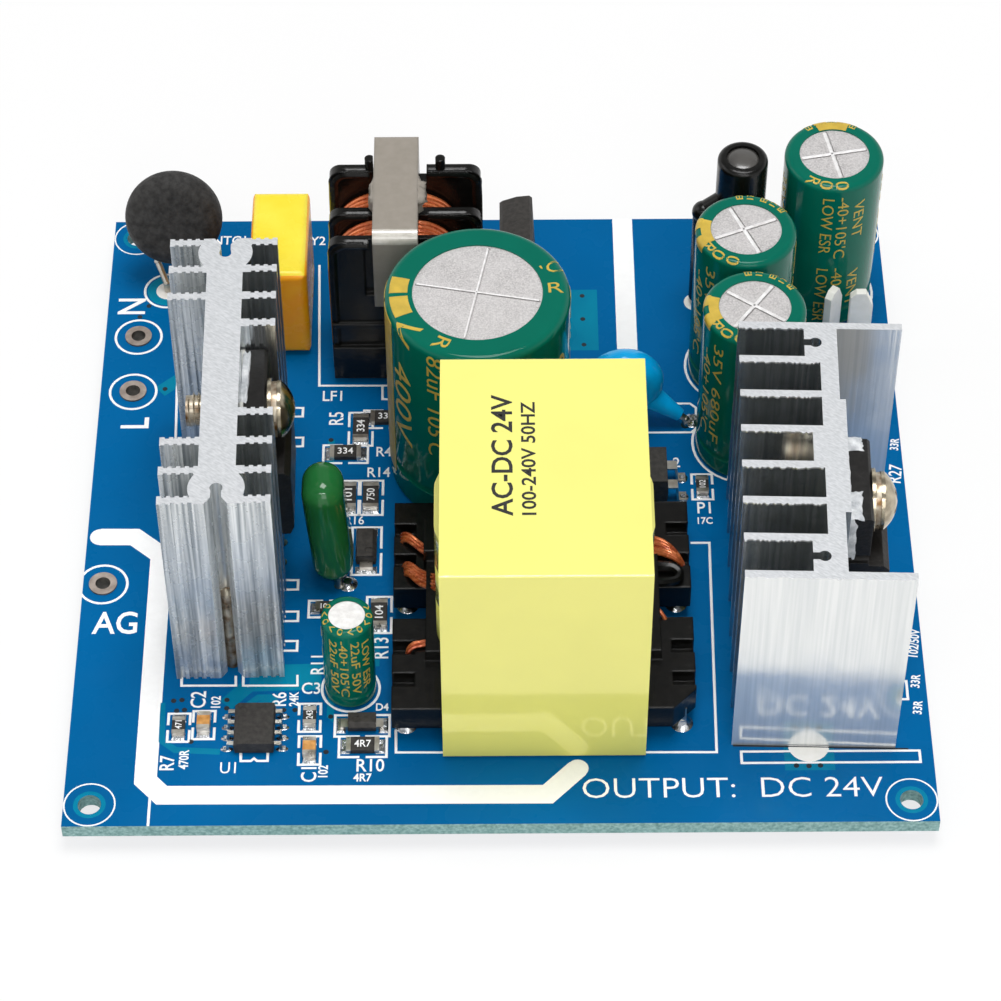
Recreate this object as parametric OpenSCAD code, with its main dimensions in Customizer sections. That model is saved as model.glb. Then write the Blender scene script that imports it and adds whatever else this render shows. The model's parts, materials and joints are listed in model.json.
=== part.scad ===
// Open-frame switching power supply: a blue circuit board with its line filter, rectifier,
// transformer, two finned heatsinks and output capacitors standing on it.
// The long silk-screened edge of the board faces -Y, the mains side is at -X, and Z is up.
// The clipped leads under the board end at z = 0, below the middle of the board.

/* [Board] */
// Width of the circuit board
board_w = 83; // [80:0.5:110]
// Depth of the circuit board
board_d = 80; // [78:0.5:110]
// Thickness of the circuit board
board_t = 1.6; // [0.8:0.1:2.4]
// Diameter of the four mounting holes
mount_hole_d = 2.2; // [1.6:0.1:3]
// Distance of the mounting holes from the board's edges
mount_inset = 2.5; // [2:0.1:4]

/* [Leads and solder] */
// How far the clipped leads reach below the board
lead_stub = 1.8; // [1.2:0.1:3]
// Diameter of the round component leads
lead_d = 0.7; // [0.5:0.05:0.9]
// Side of the square connecting pins
pin_w = 0.8; // [0.6:0.05:1]
// Diameter of the heatsinks' mounting pins
sink_pin_d = 1.2; // [0.9:0.1:1.4]
// Clearance of a lead in its hole
lead_clear = 0.1; // [0.05:0.01:0.2]
// Width of the solder collar around a lead
solder_collar = 0.6; // [0.4:0.05:0.8]
// Height of a solder joint below the board
solder_h = 1.1; // [0.6:0.05:1.1]

/* [Wire pads] */
// Hole for a soldered wire
wire_hole_d = 1.5; // [1:0.1:2]
// Outer diameter of a wire pad
wire_pad_d = 2.8; // [2.6:0.1:3.4]
// Wall of the tinned eyelet in a wire hole
plating_t = 0.2; // [0.05:0.01:0.3]

/* [Heatsinks] */
// Height of the primary heatsink
sink_h = 26.4; // [24:0.2:32]
// Height of the secondary heatsink
secondary_h = 25.7; // [24:0.1:32]
// Thickness of the primary heatsink's fins
fin_t = 1; // [0.8:0.05:1.3]
// Spacing of the primary heatsink's fins
primary_fin_pitch = 3.6; // [3:0.1:3.8]
// Reach of the fins on the outer side of the primary heatsink
primary_fin_left = 3.7; // [3:0.1:4.5]
// Reach of the fins on the inner side of the primary heatsink
primary_fin_right = 3.3; // [3:0.1:3.6]
// Thickness of the primary heatsink's web
primary_web = 3.5; // [3:0.1:3.8]
// Spacing of the ribs along the primary fins
rib_pitch = 0.8; // [0.7:0.05:1]
// Depth of the grooves between those ribs
rib_depth = 0.18; // [0.1:0.01:0.25]
// Spacing of the secondary heatsink's fins
secondary_fin_pitch = 4.4; // [4:0.05:4.5]
// Thickness of the secondary heatsink's fins and end plates
secondary_fin_t = 0.8; // [0.6:0.05:1.2]
// Number of slots in the secondary heatsink
secondary_slots = 7; // [5:1:7]
// Reach of the secondary heatsink's fins
secondary_fin_reach = 7.7; // [7:0.1:8.6]
// Thickness of the secondary heatsink's spine
secondary_spine = 1.7; // [1.6:0.1:2.4]
// Rise of the rectifier's seat on the spine
seat_rise = 0.55; // [0.4:0.05:0.8]
// Length of that seat
seat_l = 13.9; // [12:0.1:15]
// Reach of the two end plates past the spine
secondary_plate_reach = 6.3; // [5.5:0.1:7]

/* [Power transistors] */
// Width of a transistor body
case_w = 10; // [9.6:0.1:10.4]
// Height of a transistor body
case_h = 15.9; // [15:0.1:17]
// Thickness of the body below the screw
case_t = 4.2; // [4:0.1:4.6]
// Thickness of the mounting tab
tab_t = 2.2; // [2:0.1:3]
// Height of the mounting tab
tab_h = 6.8; // [6.4:0.1:7.2]
// Height of the switching transistor above the board
switch_z = 7.4; // [5:0.1:8]
// Height of the output rectifier above the board
rectifier_z = 6.4; // [5:0.1:8]
// Thickness of the thermal pad behind a transistor
thermal_pad_t = 0.25; // [0.2:0.05:0.4]
// Spacing of the transistor leads
case_pitch = 2.54; // [2.2:0.01:2.6]
// Clearance of a body between the fins
bay_clear = 0.2; // [0.1:0.05:0.4]

/* [Screws] */
// Diameter of the fixing screws
screw_d = 3; // [2.5:0.1:3.2]
// Diameter of the screw head
screw_head_d = 5.6; // [5:0.1:6]
// Height of the screw head
screw_head_h = 1.7; // [1.5:0.1:2.4]
// Length of the screw below its head
screw_len = 8.8; // [8.5:0.1:9.2]
// Clearance of the screw in its holes
screw_clear = 0.1; // [0.05:0.01:0.2]
// Thickness of the flat washer
flat_washer_t = 0.4; // [0.3:0.05:0.6]
// Thickness of the spring washer
spring_washer_t = 0.5; // [0.4:0.05:0.8]

/* [Transformer] */
// Width of the transformer core
core_w = 19; // [18.5:0.1:19.2]
// Length of the transformer core
core_l = 26.2; // [25:0.1:27]
// Height of the transformer core
core_h = 27; // [24:0.1:30]
// Diameter of the winding window
core_window_d = 22.5; // [21.5:0.1:23]
// Thickness of the core's top and bottom plates
core_plate = 4.6; // [4:0.1:5.4]
// Diameter of the core's centre post
core_post_d = 12; // [11:0.1:12.6]
// Thickness of the wound tape
tape_t = 0.2; // [0.1:0.05:0.4]
// Reach of a pin rail past the core
rail_reach = 5.1; // [4.6:0.1:5.4]
// Height of a pin rail
rail_h = 3; // [2.6:0.1:3.4]
// Height of the rails above the board
rail_z = 1.6; // [1.2:0.1:2]
// Length of each of the two blocks of a rail
rail_block = 11; // [10.4:0.1:11.4]
// Gap between the two blocks of a rail
rail_gap = 3.7; // [3:0.1:4.2]
// Spacing of the pins in a block
rail_pitch = 3.9; // [3.6:0.1:4]

/* [Electrolytic capacitors] */
// Diameter of the bulk capacitor
bulk_d = 18.2; // [16:0.1:20]
// Height of the bulk capacitor
bulk_h = 24.5; // [20:0.1:30]
// Spacing of the bulk capacitor's leads
bulk_pitch = 7.5; // [5:0.5:10]
// Diameter of an output capacitor
output_d = 10.2; // [8:0.1:10.8]
// Height of an output capacitor
output_h = 20.2; // [16:0.1:25]
// Spacing of an output capacitor's leads
output_pitch = 5; // [3:0.5:5]
// Diameter of the start-up capacitor
startup_d = 5; // [4:0.1:5.2]
// Height of the start-up capacitor
startup_h = 11.3; // [9:0.1:14]
// Spacing of the start-up capacitor's leads
startup_pitch = 2; // [1.5:0.1:2.2]
// Thickness of a shrink sleeve
sleeve_t = 0.15; // [0.1:0.01:0.25]
// Standing height of the capacitors above the board
can_z = 0.3; // [0.1:0.05:0.6]

/* [Line filter] */
// Width of the line filter capacitor
box_cap_w = 6; // [5:0.1:6.4]
// Length of the line filter capacitor
box_cap_l = 12.4; // [12:0.1:13]
// Height of the line filter capacitor
box_cap_h = 11.8; // [10:0.1:14]
// Spacing of the line filter capacitor's leads
box_cap_pitch = 10; // [7.5:0.5:10.5]
// Width of the choke's flanges
choke_w = 15.4; // [14:0.1:15.6]
// Height of the choke's front and middle flanges above the board
choke_h = 20.4; // [20:0.1:23]
// Rise of the choke's back flange above the other two
choke_back_rise = 2.2; // [1.6:0.1:2.4]
// Height of the choke's windings
choke_coil_d = 10.2; // [9.6:0.1:10.4]
// Width of the choke's windings past their height
choke_coil_flat = 2.7; // [2:0.1:3]
// Length of the choke's core
choke_core_l = 14.4; // [14:0.1:15]
// Height of the choke's core
choke_core_h = 10.2; // [9.8:0.1:10.4]
// Width of the choke's core
choke_core_w = 4.5; // [4:0.1:4.8]
// Thickness of the core's four limbs
choke_limb = 2.6; // [2.4:0.05:2.8]
// Diameter of the choke's wire
choke_wire_d = 0.6; // [0.4:0.05:0.8]
// Spacing of the choke's pins across the flanges
choke_pin_x = 10; // [8:0.1:12]
// Spacing of the choke's pins along the core
choke_pin_y = 6.8; // [5:0.1:7]
// Diameter of the surge disc
surge_d = 10.3; // [8:0.1:11]
// Thickness of the surge disc
surge_t = 4; // [3:0.1:5]
// Backward lean of the surge disc
surge_lean = 24; // [10:1:30]

/* [Small parts] */
// Thickness of the bridge rectifier
bridge_t = 3.4; // [3:0.1:4]
// Length of the bridge rectifier
bridge_l = 14.4; // [14:0.1:15]
// Height of the bridge rectifier
bridge_h = 10.8; // [9:0.1:12]
// Spacing of the bridge rectifier's leads
bridge_pitch = 3.81; // [3:0.01:4]
// Thickness of the film capacitor
film_t = 4.1; // [3.8:0.1:4.6]
// Width of the film capacitor
film_w = 5.6; // [5:0.1:9]
// Height of the film capacitor
film_h = 14.2; // [12:0.1:16]
// Spacing of the film capacitor's leads
film_pitch = 3.5; // [2:0.1:5]
// Diameter of the safety capacitor
safety_d = 8; // [7:0.1:9]
// Thickness of the safety capacitor
safety_t = 3.6; // [3:0.1:4]
// Diameter of the rod choke in its sleeve
rod_d = 5.2; // [4.5:0.1:5.4]
// Height of the rod choke
rod_h = 19.9; // [16:0.1:22]
// Width of an output blade
blade_w = 2.4; // [2:0.1:2.8]
// Thickness of an output blade
blade_t = 0.8; // [0.5:0.1:1]
// Height of an output blade above the board
blade_h = 7.8; // [6:0.1:10]

/* [Hidden] */
$fn = 40;
eps = 0.01;
board_top = lead_stub + board_t;

// Places of the parts on the board, from the middle of the board
mains_pads = [[3.5 - board_w / 2, 22.9], [3.4 - board_w / 2, 15.1], [2 - board_w / 2, -10.7]];
primary_pos = [-26.05, -22.5];
primary_turn = 0.9;
secondary_pos = [30.75, -31.2];
secondary_turn = -1.75;
transformer_pos = [4.22, -19.05];
bulk_pos = [-1.95, transformer_pos.y + core_l / 2 + tape_t + 2.25 + bulk_d / 2];
startup_pos = [-14.5, -23.9];
box_cap_pos = [-22.6, 26.3];
choke_pos = [-9.3, bulk_pos.y + bulk_d / 2 + 6.4];
choke_core_shift = -0.85;
surge_pos = [-34.2, 30.5];
bridge_pos = [2, bulk_pos.y + bulk_d / 2 + 7.75];
film_pos = [-16.8, -9.3];
film_lean = 3.5;
safety_pos = [13, 11];
opto_pos = [14.1, 1.5];
output_pos = [[25.43, 18.2 - output_d - 0.5], [25.1, 18.2], [34.7, 28.9]];
output_turn = [0, 0, 90];
output_score = [-36, 23, 11];
rod_pos = [25.3, 28.5];
rod_return = [21.5, 27.7];
blade_pos = [[board_w / 2 - 6.4, 21.9], [board_w / 2 - 3.5, 21.5]];
blade_turn = [56, 0];
controller_pos = [-23.6, -29.2];

// Point p of a part that stands at o and is turned about Z by a
function turned(o, a, p) = [o.x + p.x * cos(a) - p.y * sin(a), o.y + p.x * sin(a) + p.y * cos(a)];

// Heatsink proportions, from the middle of the web or spine at the front end
primary_bay = case_w + 2 * bay_clear;
primary_group = 3 * primary_fin_pitch + fin_t;
primary_len = primary_bay + 2 * primary_group;
secondary_len = secondary_slots * secondary_fin_pitch + secondary_fin_t;
key_r = sink_pin_d / 2;
key_depth = 1.9;
secondary_key_x = -secondary_spine / 2 - 0.38;
sink_pin_len = 11;
sink_pins = concat(
    [for (y = [key_depth, primary_len - key_depth]) turned(primary_pos, primary_turn, [0, y])],
    [for (i = [0.5, secondary_slots - 0.5]) turned(secondary_pos, secondary_turn,
        [secondary_key_x, secondary_fin_t / 2 + i * secondary_fin_pitch])]);

// Transistor seats: place of the heatsink, its turn, the seat on it and the height of the body
switch_seat = [primary_pos, primary_turn, [primary_web / 2, primary_len / 2], switch_z];
rectifier_seat = [secondary_pos, secondary_turn,
    [secondary_spine / 2 + seat_rise, secondary_len / 2 - 1], rectifier_z];
seats = [switch_seat, rectifier_seat];
screw_drop = 3.1;
case_lead_x = thermal_pad_t + 2.5;
case_lead_w = 0.75;
case_lead_t = 0.5;
head_x = thermal_pad_t + tab_t + flat_washer_t + spring_washer_t;

// Transformer proportions
core_z = 0.4;
core_gap = 0.1;
bobbin_wall = 0.8;
flange_t = 1;
tube_d = core_post_d + 0.3 + 2 * bobbin_wall;
winding_d = core_window_d - 1.2;
window_h = core_h - 2 * core_plate;
rail_shift = 2;
rail_x = core_w / 2 + 0.25;
rail_out = core_w / 2 + rail_reach;
pin_row_x = rail_out - 1.3;
rail_blocks = [for (s = [-1, 1]) rail_shift + s * (rail_block + rail_gap) / 2];

// Choke proportions
choke_top = choke_h + 3.6;
choke_axis_z = choke_top - choke_core_h + choke_limb / 2;
choke_flange_t = 1.1;
choke_window = choke_core_l - 2 * choke_limb - 0.2;
choke_base_z = 0.8;
choke_base_h = 4.6;

// Lead positions
function row(pos, pitch, n, turn = 0) = [for (i = [0:n - 1])
    let (s = (i - (n - 1) / 2) * pitch) [pos.x + s * cos(turn), pos.y + s * sin(turn)]];
function seat_row(seat) = [for (y = row([0, 0], case_pitch, 3))
    turned(seat[0], seat[1], seat[2] + [case_lead_x, y.x])];

bulk_leads = row(bulk_pos, bulk_pitch, 2);
startup_leads = row(startup_pos, startup_pitch, 2);
output_leads = [for (i = [0:2]) each row(output_pos[i], output_pitch, 2, output_turn[i])];
can_leads = concat(bulk_leads, startup_leads, output_leads);
box_cap_leads = row(box_cap_pos, box_cap_pitch, 2, 90);
choke_pin_places = [for (x = [-1, 1], y = [-1, 1])
    choke_pos + [x * choke_pin_x / 2, y * choke_pin_y / 2 - 0.2]];
surge_leads = [surge_pos + [-1.1, -0.9], surge_pos + [2.6, 3.6]];
bridge_leads = row(bridge_pos, bridge_pitch, 4, 90);
film_leads = row(film_pos + [0.8, 0], film_pitch, 2, 90);
safety_leads = [safety_pos + [6.4, -1], safety_pos + [-4, -0.6]];
rod_leads = [rod_pos, rod_return];
transformer_pin_places = [for (s = [-1, 1], y = rail_blocks) each
    row(transformer_pos + [s * pin_row_x, y], rail_pitch, 3, 90)];

// All leads: x, y, width, depth and turn, with no depth on a round lead
function round_leads(points, d) = [for (p = points) [p.x, p.y, d, 0, 0]];
function flat_leads(points, w, t, turn) = [for (p = points) [p.x, p.y, w, t, turn]];
function across(p) = p[3] == 0 ? p[2] : norm([p[2], p[3]]);
all_leads = concat(
    round_leads(concat(can_leads, box_cap_leads, surge_leads, bridge_leads, film_leads), lead_d),
    round_leads(concat(safety_leads, rod_leads), lead_d),
    round_leads(sink_pins, sink_pin_d),
    flat_leads(concat(choke_pin_places, transformer_pin_places), pin_w, pin_w, 0),
    [for (s = seats) each flat_leads(seat_row(s), case_lead_t, case_lead_w, s[1])],
    [for (i = [0, 1]) [blade_pos[i].x, blade_pos[i].y, blade_t, blade_t, blade_turn[i]]]);

// Chip parts: x, y, turn about Z, length, width and height
chip_resistor_places = [
    [-31, -28.5, 90, 2, 1.25, 0.5], [-18.4, -27.4, 90, 2, 1.25, 0.5],
    [-13.2, -30.9, 0, 3.2, 1.6, 0.55], [-14.2, 9.7, 90, 3.2, 1.6, 0.55],
    [-15.7, 6.3, 0, 3.2, 1.6, 0.55], [-15.3, 0.4, 90, 3.2, 1.6, 0.55],
    [-13, 0.4, 90, 3.2, 1.6, 0.55], [-11.9, -14.8, 90, 3.2, 1.6, 0.55],
    [-17.2, -14, 0, 2, 1.25, 0.5], [20.8, 1.6, 90, 2, 1.25, 0.5],
    [bulk_pos.x - bulk_d * 0.4425 - 1.6, bulk_pos.y + bulk_d * 0.3, 0, 3.2, 1.6, 0.55]];
chip_capacitor_places = [[-28.6, -28.2, 90, 2, 1.25, 0.9], [-18.3, -31.3, 90, 2, 1.25, 0.9]];
diode_places = [[-13.3, -28.4, 0, 2.7, 1.7, 1.2], [-13.3, -6.6, 90, 3.6, 2.1, 1.4]];
cap_len = 0.45;

// Shared shapes

// Puts its children on the board's top face at a place and height
module on_board(p, z = 0) {
    translate([p.x, p.y, board_top + z])
        children();
}

// Rectangle with round corners, about its middle
module rounded_rect(w, d, r) {
    square([w - 2 * r, d], center = true);
    square([w, d - 2 * r], center = true);
    for (x = [-1, 1], y = [-1, 1])
        translate([x * (w / 2 - r), y * (d / 2 - r)])
            circle(r);
}

// Block with every edge rounded, standing on z = 0 about its middle
module rounded_block(w, d, h, r) {
    intersection() {
        linear_extrude(h)
            rounded_rect(w, d, r);
        translate([0, d / 2, h / 2])
            rotate([90, 0, 0])
                linear_extrude(d)
                    rounded_rect(w, h, r);
        translate([-w / 2, 0, h / 2])
            rotate([90, 0, 90])
                linear_extrude(w)
                    rounded_rect(d, h, r);
    }
}

// Puts its children at a point with +Z pointing to another
module along(a, b) {
    run = b - a;
    translate(a)
        rotate([0, acos(run.z / norm(run)), atan2(run.y, run.x)])
            children();
}

// Round bar between two points
module bar(a, b, d) {
    along(a, b)
        cylinder(d = d, h = norm(b - a));
}

// Bent round wire through a list of points
module wire(points, d) {
    for (i = [0:len(points) - 2])
        bar(points[i], points[i + 1], d);
    for (i = [1:1:len(points) - 2])
        translate(points[i])
            sphere(d = d * 1.1);
}

// Round leads from their clipped ends up to a height above the board
module straight_leads(points, d, z) {
    for (p = points)
        translate([p.x, p.y, 0])
            cylinder(d = d, h = board_top + z);
}

// Square pins from their clipped ends up to a height above the board
module square_pins(points, w, z) {
    for (p = points)
        translate([p.x - w / 2, p.y - w / 2, 0])
            cube([w, w, board_top + z]);
}

// Board and solder

// Fibreglass board with its mounting holes, wire holes and lead holes
module circuit_board() {
    color("#0a5a9c")
        translate([0, 0, lead_stub])
            difference() {
                translate([-board_w / 2, -board_d / 2, 0])
                    cube([board_w, board_d, board_t]);
                for (x = [-1, 1], y = [-1, 1])
                    translate([x * (board_w / 2 - mount_inset), y * (board_d / 2 - mount_inset), -eps])
                        cylinder(d = mount_hole_d, h = board_t + 2 * eps);
                for (p = mains_pads)
                    translate([p.x, p.y, -eps])
                        cylinder(d = wire_hole_d + 2 * plating_t, h = board_t + 2 * eps);
                for (p = all_leads)
                    translate([p.x, p.y, -eps])
                        cylinder(d = across(p) + 2 * lead_clear, h = board_t + 2 * eps);
            }
}

// Tinned pads for the mains wires, plated through the board
module wire_eyelets() {
    color("#cbb9a4")
        for (p = mains_pads)
            translate([p.x, p.y, lead_stub - plating_t])
                difference() {
                    union() {
                        cylinder(d = wire_pad_d, h = plating_t);
                        cylinder(d = wire_hole_d + 2 * plating_t, h = board_t + 2 * plating_t);
                        translate([0, 0, board_t + plating_t])
                            cylinder(d = wire_pad_d, h = plating_t);
                    }
                    translate([0, 0, -eps])
                        cylinder(d = wire_hole_d, h = board_t + 2 * plating_t + 2 * eps);
                }
}

// Solder cones around the leads under the board
module solder_joints() {
    color("#b9bcc0")
        for (p = all_leads)
            translate([p.x, p.y, lead_stub - solder_h])
                difference() {
                    cylinder(d1 = across(p) + solder_collar / 2, d2 = across(p) + 2 * solder_collar,
                        h = solder_h);
                    translate([0, 0, -eps])
                        rotate(p[4])
                            linear_extrude(solder_h + 2 * eps)
                                lead_section(p);
                }
}

// Cross-section of a lead: a circle, or a rectangle if it has a depth
module lead_section(p) {
    if (p[3] == 0)
        circle(d = p[2]);
    else
        square([p[2], p[3]], center = true);
}

// Line filter

// Lens-shaped disc with a rounded rim, lying on its back
module dipped_disc(d, t) {
    rim = t / 2;
    rotate_extrude()
        difference() {
            union() {
                translate([0, -t / 2])
                    square([d / 2 - rim, t]);
                translate([d / 2 - rim, 0])
                    circle(rim);
            }
            translate([-d, -t])
                square([d, 2 * t]);
        }
}

surge_mid = [surge_pos.x, surge_pos.y + surge_d / 2 * sin(surge_lean),
    board_top + 3.4 + surge_d / 2 * cos(surge_lean)];

// Paths of the surge disc's two leads
function surge_path(i) =
    let (p = surge_leads[i], side = i == 0 ? -2 : 2)
    [[p.x, p.y, 0], [p.x, p.y, board_top + 1.2],
     [surge_mid.x + side, surge_pos.y + 0.4 + i * 0.6, board_top + 3.2],
     [surge_mid.x + side, surge_mid.y, surge_mid.z]];

// Black surge limiting disc leaning back over its leads
module surge_disc() {
    color("#262524")
        difference() {
            translate(surge_mid)
                rotate([90 - surge_lean, 0, 0])
                    dipped_disc(surge_d, surge_t);
            for (i = [0, 1])
                wire(surge_path(i), lead_d);
        }
}

module surge_disc_leads() {
    color("#c2bdb4")
        for (i = [0, 1])
            wire(surge_path(i), lead_d);
}

// Yellow boxed film capacitor across the mains
module line_filter_capacitor() {
    color("#f5c518")
        on_board(box_cap_pos, can_z)
            rounded_block(box_cap_w, box_cap_l, box_cap_h, 0.8);
}

module line_filter_capacitor_leads() {
    color("#c2bdb4")
        straight_leads(box_cap_leads, lead_d, can_z);
}

// Ferrite ring of the choke, a rectangle of four limbs standing along Y
module choke_core() {
    color("#8c8882")
        on_board(choke_pos + [choke_core_shift, 0], choke_top - choke_core_h)
            translate([-choke_core_w / 2, 0, choke_core_h / 2])
                rotate([90, 0, 90])
                    linear_extrude(choke_core_w)
                        difference() {
                            rounded_rect(choke_core_l, choke_core_h, 0.3);
                            square([choke_core_l - 2 * choke_limb, choke_core_h - 2 * choke_limb],
                                center = true);
                        }
}

// Outline of a choke flange seen along Y, up to a height
module choke_flange(h) {
    translate([0, (h + choke_base_z) / 2])
        rounded_rect(choke_w, h - choke_base_z, 1.2);
}

// Outline of the tube round the core's lower limb, or of its bore, seen along Y
module choke_tube(wall) {
    translate([choke_core_shift, choke_axis_z])
        square([choke_core_w + 2 * wall, choke_limb + 2 * wall], center = true);
}

// Puts an outline seen along Y on the choke, from one y to another
module choke_slab(y0, y1) {
    on_board(choke_pos)
        translate([0, y1, 0])
            rotate([90, 0, 0])
                linear_extrude(y1 - y0)
                    children();
}

// Black moulded bobbin with three flanges, its base, tube and two locating posts
module choke_bobbin() {
    half = choke_window / 2;
    back_top = choke_h + choke_back_rise;
    color("#1d1c1c")
        difference() {
            union() {
                choke_slab(-half, -half + choke_flange_t)
                    choke_flange(choke_h);
                choke_slab(-choke_flange_t / 2, choke_flange_t / 2)
                    choke_flange(choke_h);
                choke_slab(half - choke_flange_t, half)
                    choke_flange(back_top);
                choke_slab(-half + eps, half - eps)
                    choke_tube(0.6);
                on_board(choke_pos, choke_base_z)
                    translate([-choke_w / 2, -half - 0.5, 0])
                        cube([choke_w, 2 * half + 0.5, choke_base_h]);
                on_board(choke_pos, 8.2)
                    translate([-choke_w / 2, -half - 0.35, 0])
                        cube([choke_w, 0.6, 0.6]);
                for (x = [-3.55, 3.6])
                    on_board(choke_pos + [x, half - choke_flange_t / 2], back_top - 1)
                        cylinder(d = 1, h = choke_top + 1 - back_top);
            }
            choke_slab(-half - 3, half + 3)
                choke_tube(0.1);
            choke_slab(-half - 1, -half + choke_flange_t / 2)
                translate([choke_core_shift - choke_core_w / 2 - 1, choke_top - choke_core_h - 1])
                    square([choke_core_w + 2, choke_core_h]);
            choke_slab(half - 2 * choke_flange_t, half + 1)
                translate([choke_core_shift - choke_core_w / 2 - 0.1, choke_top - choke_limb - 0.1])
                    square([choke_core_w + 0.9, choke_core_h]);
            square_pins(choke_pin_places, pin_w, 3);
        }
}

// Half section of one winding: a layer of wire turns along the tube
module choke_turns(section) {
    turns = floor(section / choke_wire_d);
    r = choke_coil_d / 2 - choke_wire_d / 2;
    translate([0, -section / 2])
        square([r, section]);
    for (i = [0:turns - 1])
        translate([r, (i - (turns - 1) / 2) * choke_wire_d])
            circle(d = choke_wire_d);
}

// Two copper windings, each a flattened ring of turns between two flanges
module choke_windings() {
    half = choke_window / 2;
    section = half - 1.5 * choke_flange_t - 0.2;
    color("#c06a3c")
        difference() {
            for (side = [-1, 1])
                on_board(choke_pos + [choke_core_shift, 0], choke_axis_z)
                    translate([0, side * (half - choke_flange_t / 2) / 2, 0])
                        rotate([90, 0, 0])
                            for (s = [0, 180])
                                rotate(s) {
                                    translate([choke_coil_flat / 2, 0, 0])
                                        rotate(-90)
                                            rotate_extrude(angle = 180)
                                                choke_turns(section);
                                    translate([-choke_coil_flat / 2, 0, 0])
                                        rotate([90, 0, 90])
                                            linear_extrude(choke_coil_flat)
                                                choke_turns(section);
                                }
            choke_slab(-half, half)
                choke_tube(0.6);
        }
}

module choke_pins() {
    color("#c2bdb4")
        square_pins(choke_pin_places, pin_w, 3);
}

// Bridge rectifier: a moulded slab on edge, drafted on one side, with a sloping top and one corner cut off
module bridge_rectifier() {
    r = bridge_t / 2;
    color("#4a4744")
        on_board(bridge_pos, 3.2)
            difference() {
                translate([0, bridge_l / 2, 0])
                    rotate([90, 0, 0])
                        linear_extrude(bridge_l)
                            polygon([[-r, 0], [r + 0.5, 0], [r, bridge_h - 0.3], [r - 0.3, bridge_h],
                                [0.1, bridge_h - 0.15], [0.3 - r, bridge_h - 0.75], [-r, bridge_h - 1.05]]);
                mirror([0, 1, 0])
                    translate([-bridge_t, bridge_l / 2, bridge_h - 2.2])
                        rotate([45, 0, 0])
                            cube([2 * bridge_t, 4, 4]);
            }
}

module bridge_leads() {
    color("#c2bdb4")
        straight_leads(bridge_leads, lead_d, 3.2);
}

// Electrolytic capacitors

// Half section of a capacitor can: straight wall, round shoulder and a rolled groove near the foot
module can_section(r, h, shoulder, groove) {
    difference() {
        union() {
            square([r, h - shoulder]);
            square([r - shoulder, h]);
            translate([r - shoulder, h - shoulder])
                circle(shoulder);
        }
        translate([-r, 0])
            square([r, h]);
        translate([r + groove * 0.4, r * 0.32 + 0.6])
            circle(groove);
    }
}

function shoulder(d) = d * 0.02 + 0.3;
function groove(d) = d * 0.02 + 0.35;
function seal_h(d) = d * 0.06 + 0.5;

// Aluminium can, with a crossed vent score in its top at a turn about Z if it has one
module can(d, h, scored = true, turn = 0) {
    r = d / 2 - sleeve_t;
    score = 0.25;
    difference() {
        rotate_extrude()
            difference() {
                can_section(r, h - sleeve_t, shoulder(d), groove(d));
                square([r * 0.8, seal_h(d)]);
            }
        if (scored)
            for (a = [0, 90])
                rotate(turn + a)
                    translate([-d * 0.34, -score / 2, h - sleeve_t - 0.2])
                        cube([d * 0.68, score, 1]);
    }
}

// Printed shrink sleeve around the can, turned in over the top edge
module sleeve(d, h) {
    rotate_extrude()
        difference() {
            can_section(d / 2, h, shoulder(d) + sleeve_t, groove(d) - sleeve_t);
            can_section(d / 2 - sleeve_t, h - sleeve_t, shoulder(d), groove(d));
            square([d * 0.35, h + 1]);
        }
}

// Rubber plug in the foot of a can, bored for its two leads
module seal(d, pitch, turn) {
    difference() {
        cylinder(d = (d / 2 - sleeve_t) * 1.6, h = seal_h(d));
        for (s = [-1, 1])
            rotate(turn)
                translate([s * pitch / 2, 0, -eps])
                    cylinder(d = lead_d, h = 0.5 + eps);
    }
}

module bulk_can() {
    color("#d5d3d0")
        on_board(bulk_pos, can_z)
            can(bulk_d, bulk_h, true, -11);
}

module bulk_sleeve() {
    color("#0f6a52")
        on_board(bulk_pos, can_z)
            sleeve(bulk_d, bulk_h);
}

module startup_can() {
    color("#d5d3d0")
        on_board(startup_pos, can_z)
            can(startup_d, startup_h, false);
}

module startup_sleeve() {
    color("#0f6a52")
        on_board(startup_pos, can_z)
            sleeve(startup_d, startup_h);
}

module output_cans() {
    color("#d5d3d0")
        for (i = [0:2])
            on_board(output_pos[i], can_z)
                can(output_d, output_h, true, output_score[i]);
}

module output_sleeves() {
    color("#0f6a52")
        for (p = output_pos)
            on_board(p, can_z)
                sleeve(output_d, output_h);
}

module capacitor_seals() {
    color("#2b2a29") {
        on_board(bulk_pos, can_z)
            seal(bulk_d, bulk_pitch, 0);
        on_board(startup_pos, can_z)
            seal(startup_d, startup_pitch, 0);
        for (i = [0:2])
            on_board(output_pos[i], can_z)
                seal(output_d, output_pitch, output_turn[i]);
    }
}

module capacitor_leads() {
    color("#c2bdb4") {
        straight_leads(bulk_leads, lead_d, can_z + 0.5);
        straight_leads(startup_leads, lead_d, can_z + 0.5);
        straight_leads(output_leads, lead_d, can_z + 0.5);
    }
}

// Dipped capacitors

film_z = 0.8;

// Green dipped film capacitor, a rounded slab on edge along Y
module film_capacitor() {
    color("#1c6b2c")
        difference() {
            on_board(film_pos, film_z + film_h / 2)
                rotate([0, -film_lean, 0])
                    rotate([90, 0, 90])
                        film_body();
            straight_leads(film_leads, lead_d, film_z + 2.5);
        }
}

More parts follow.
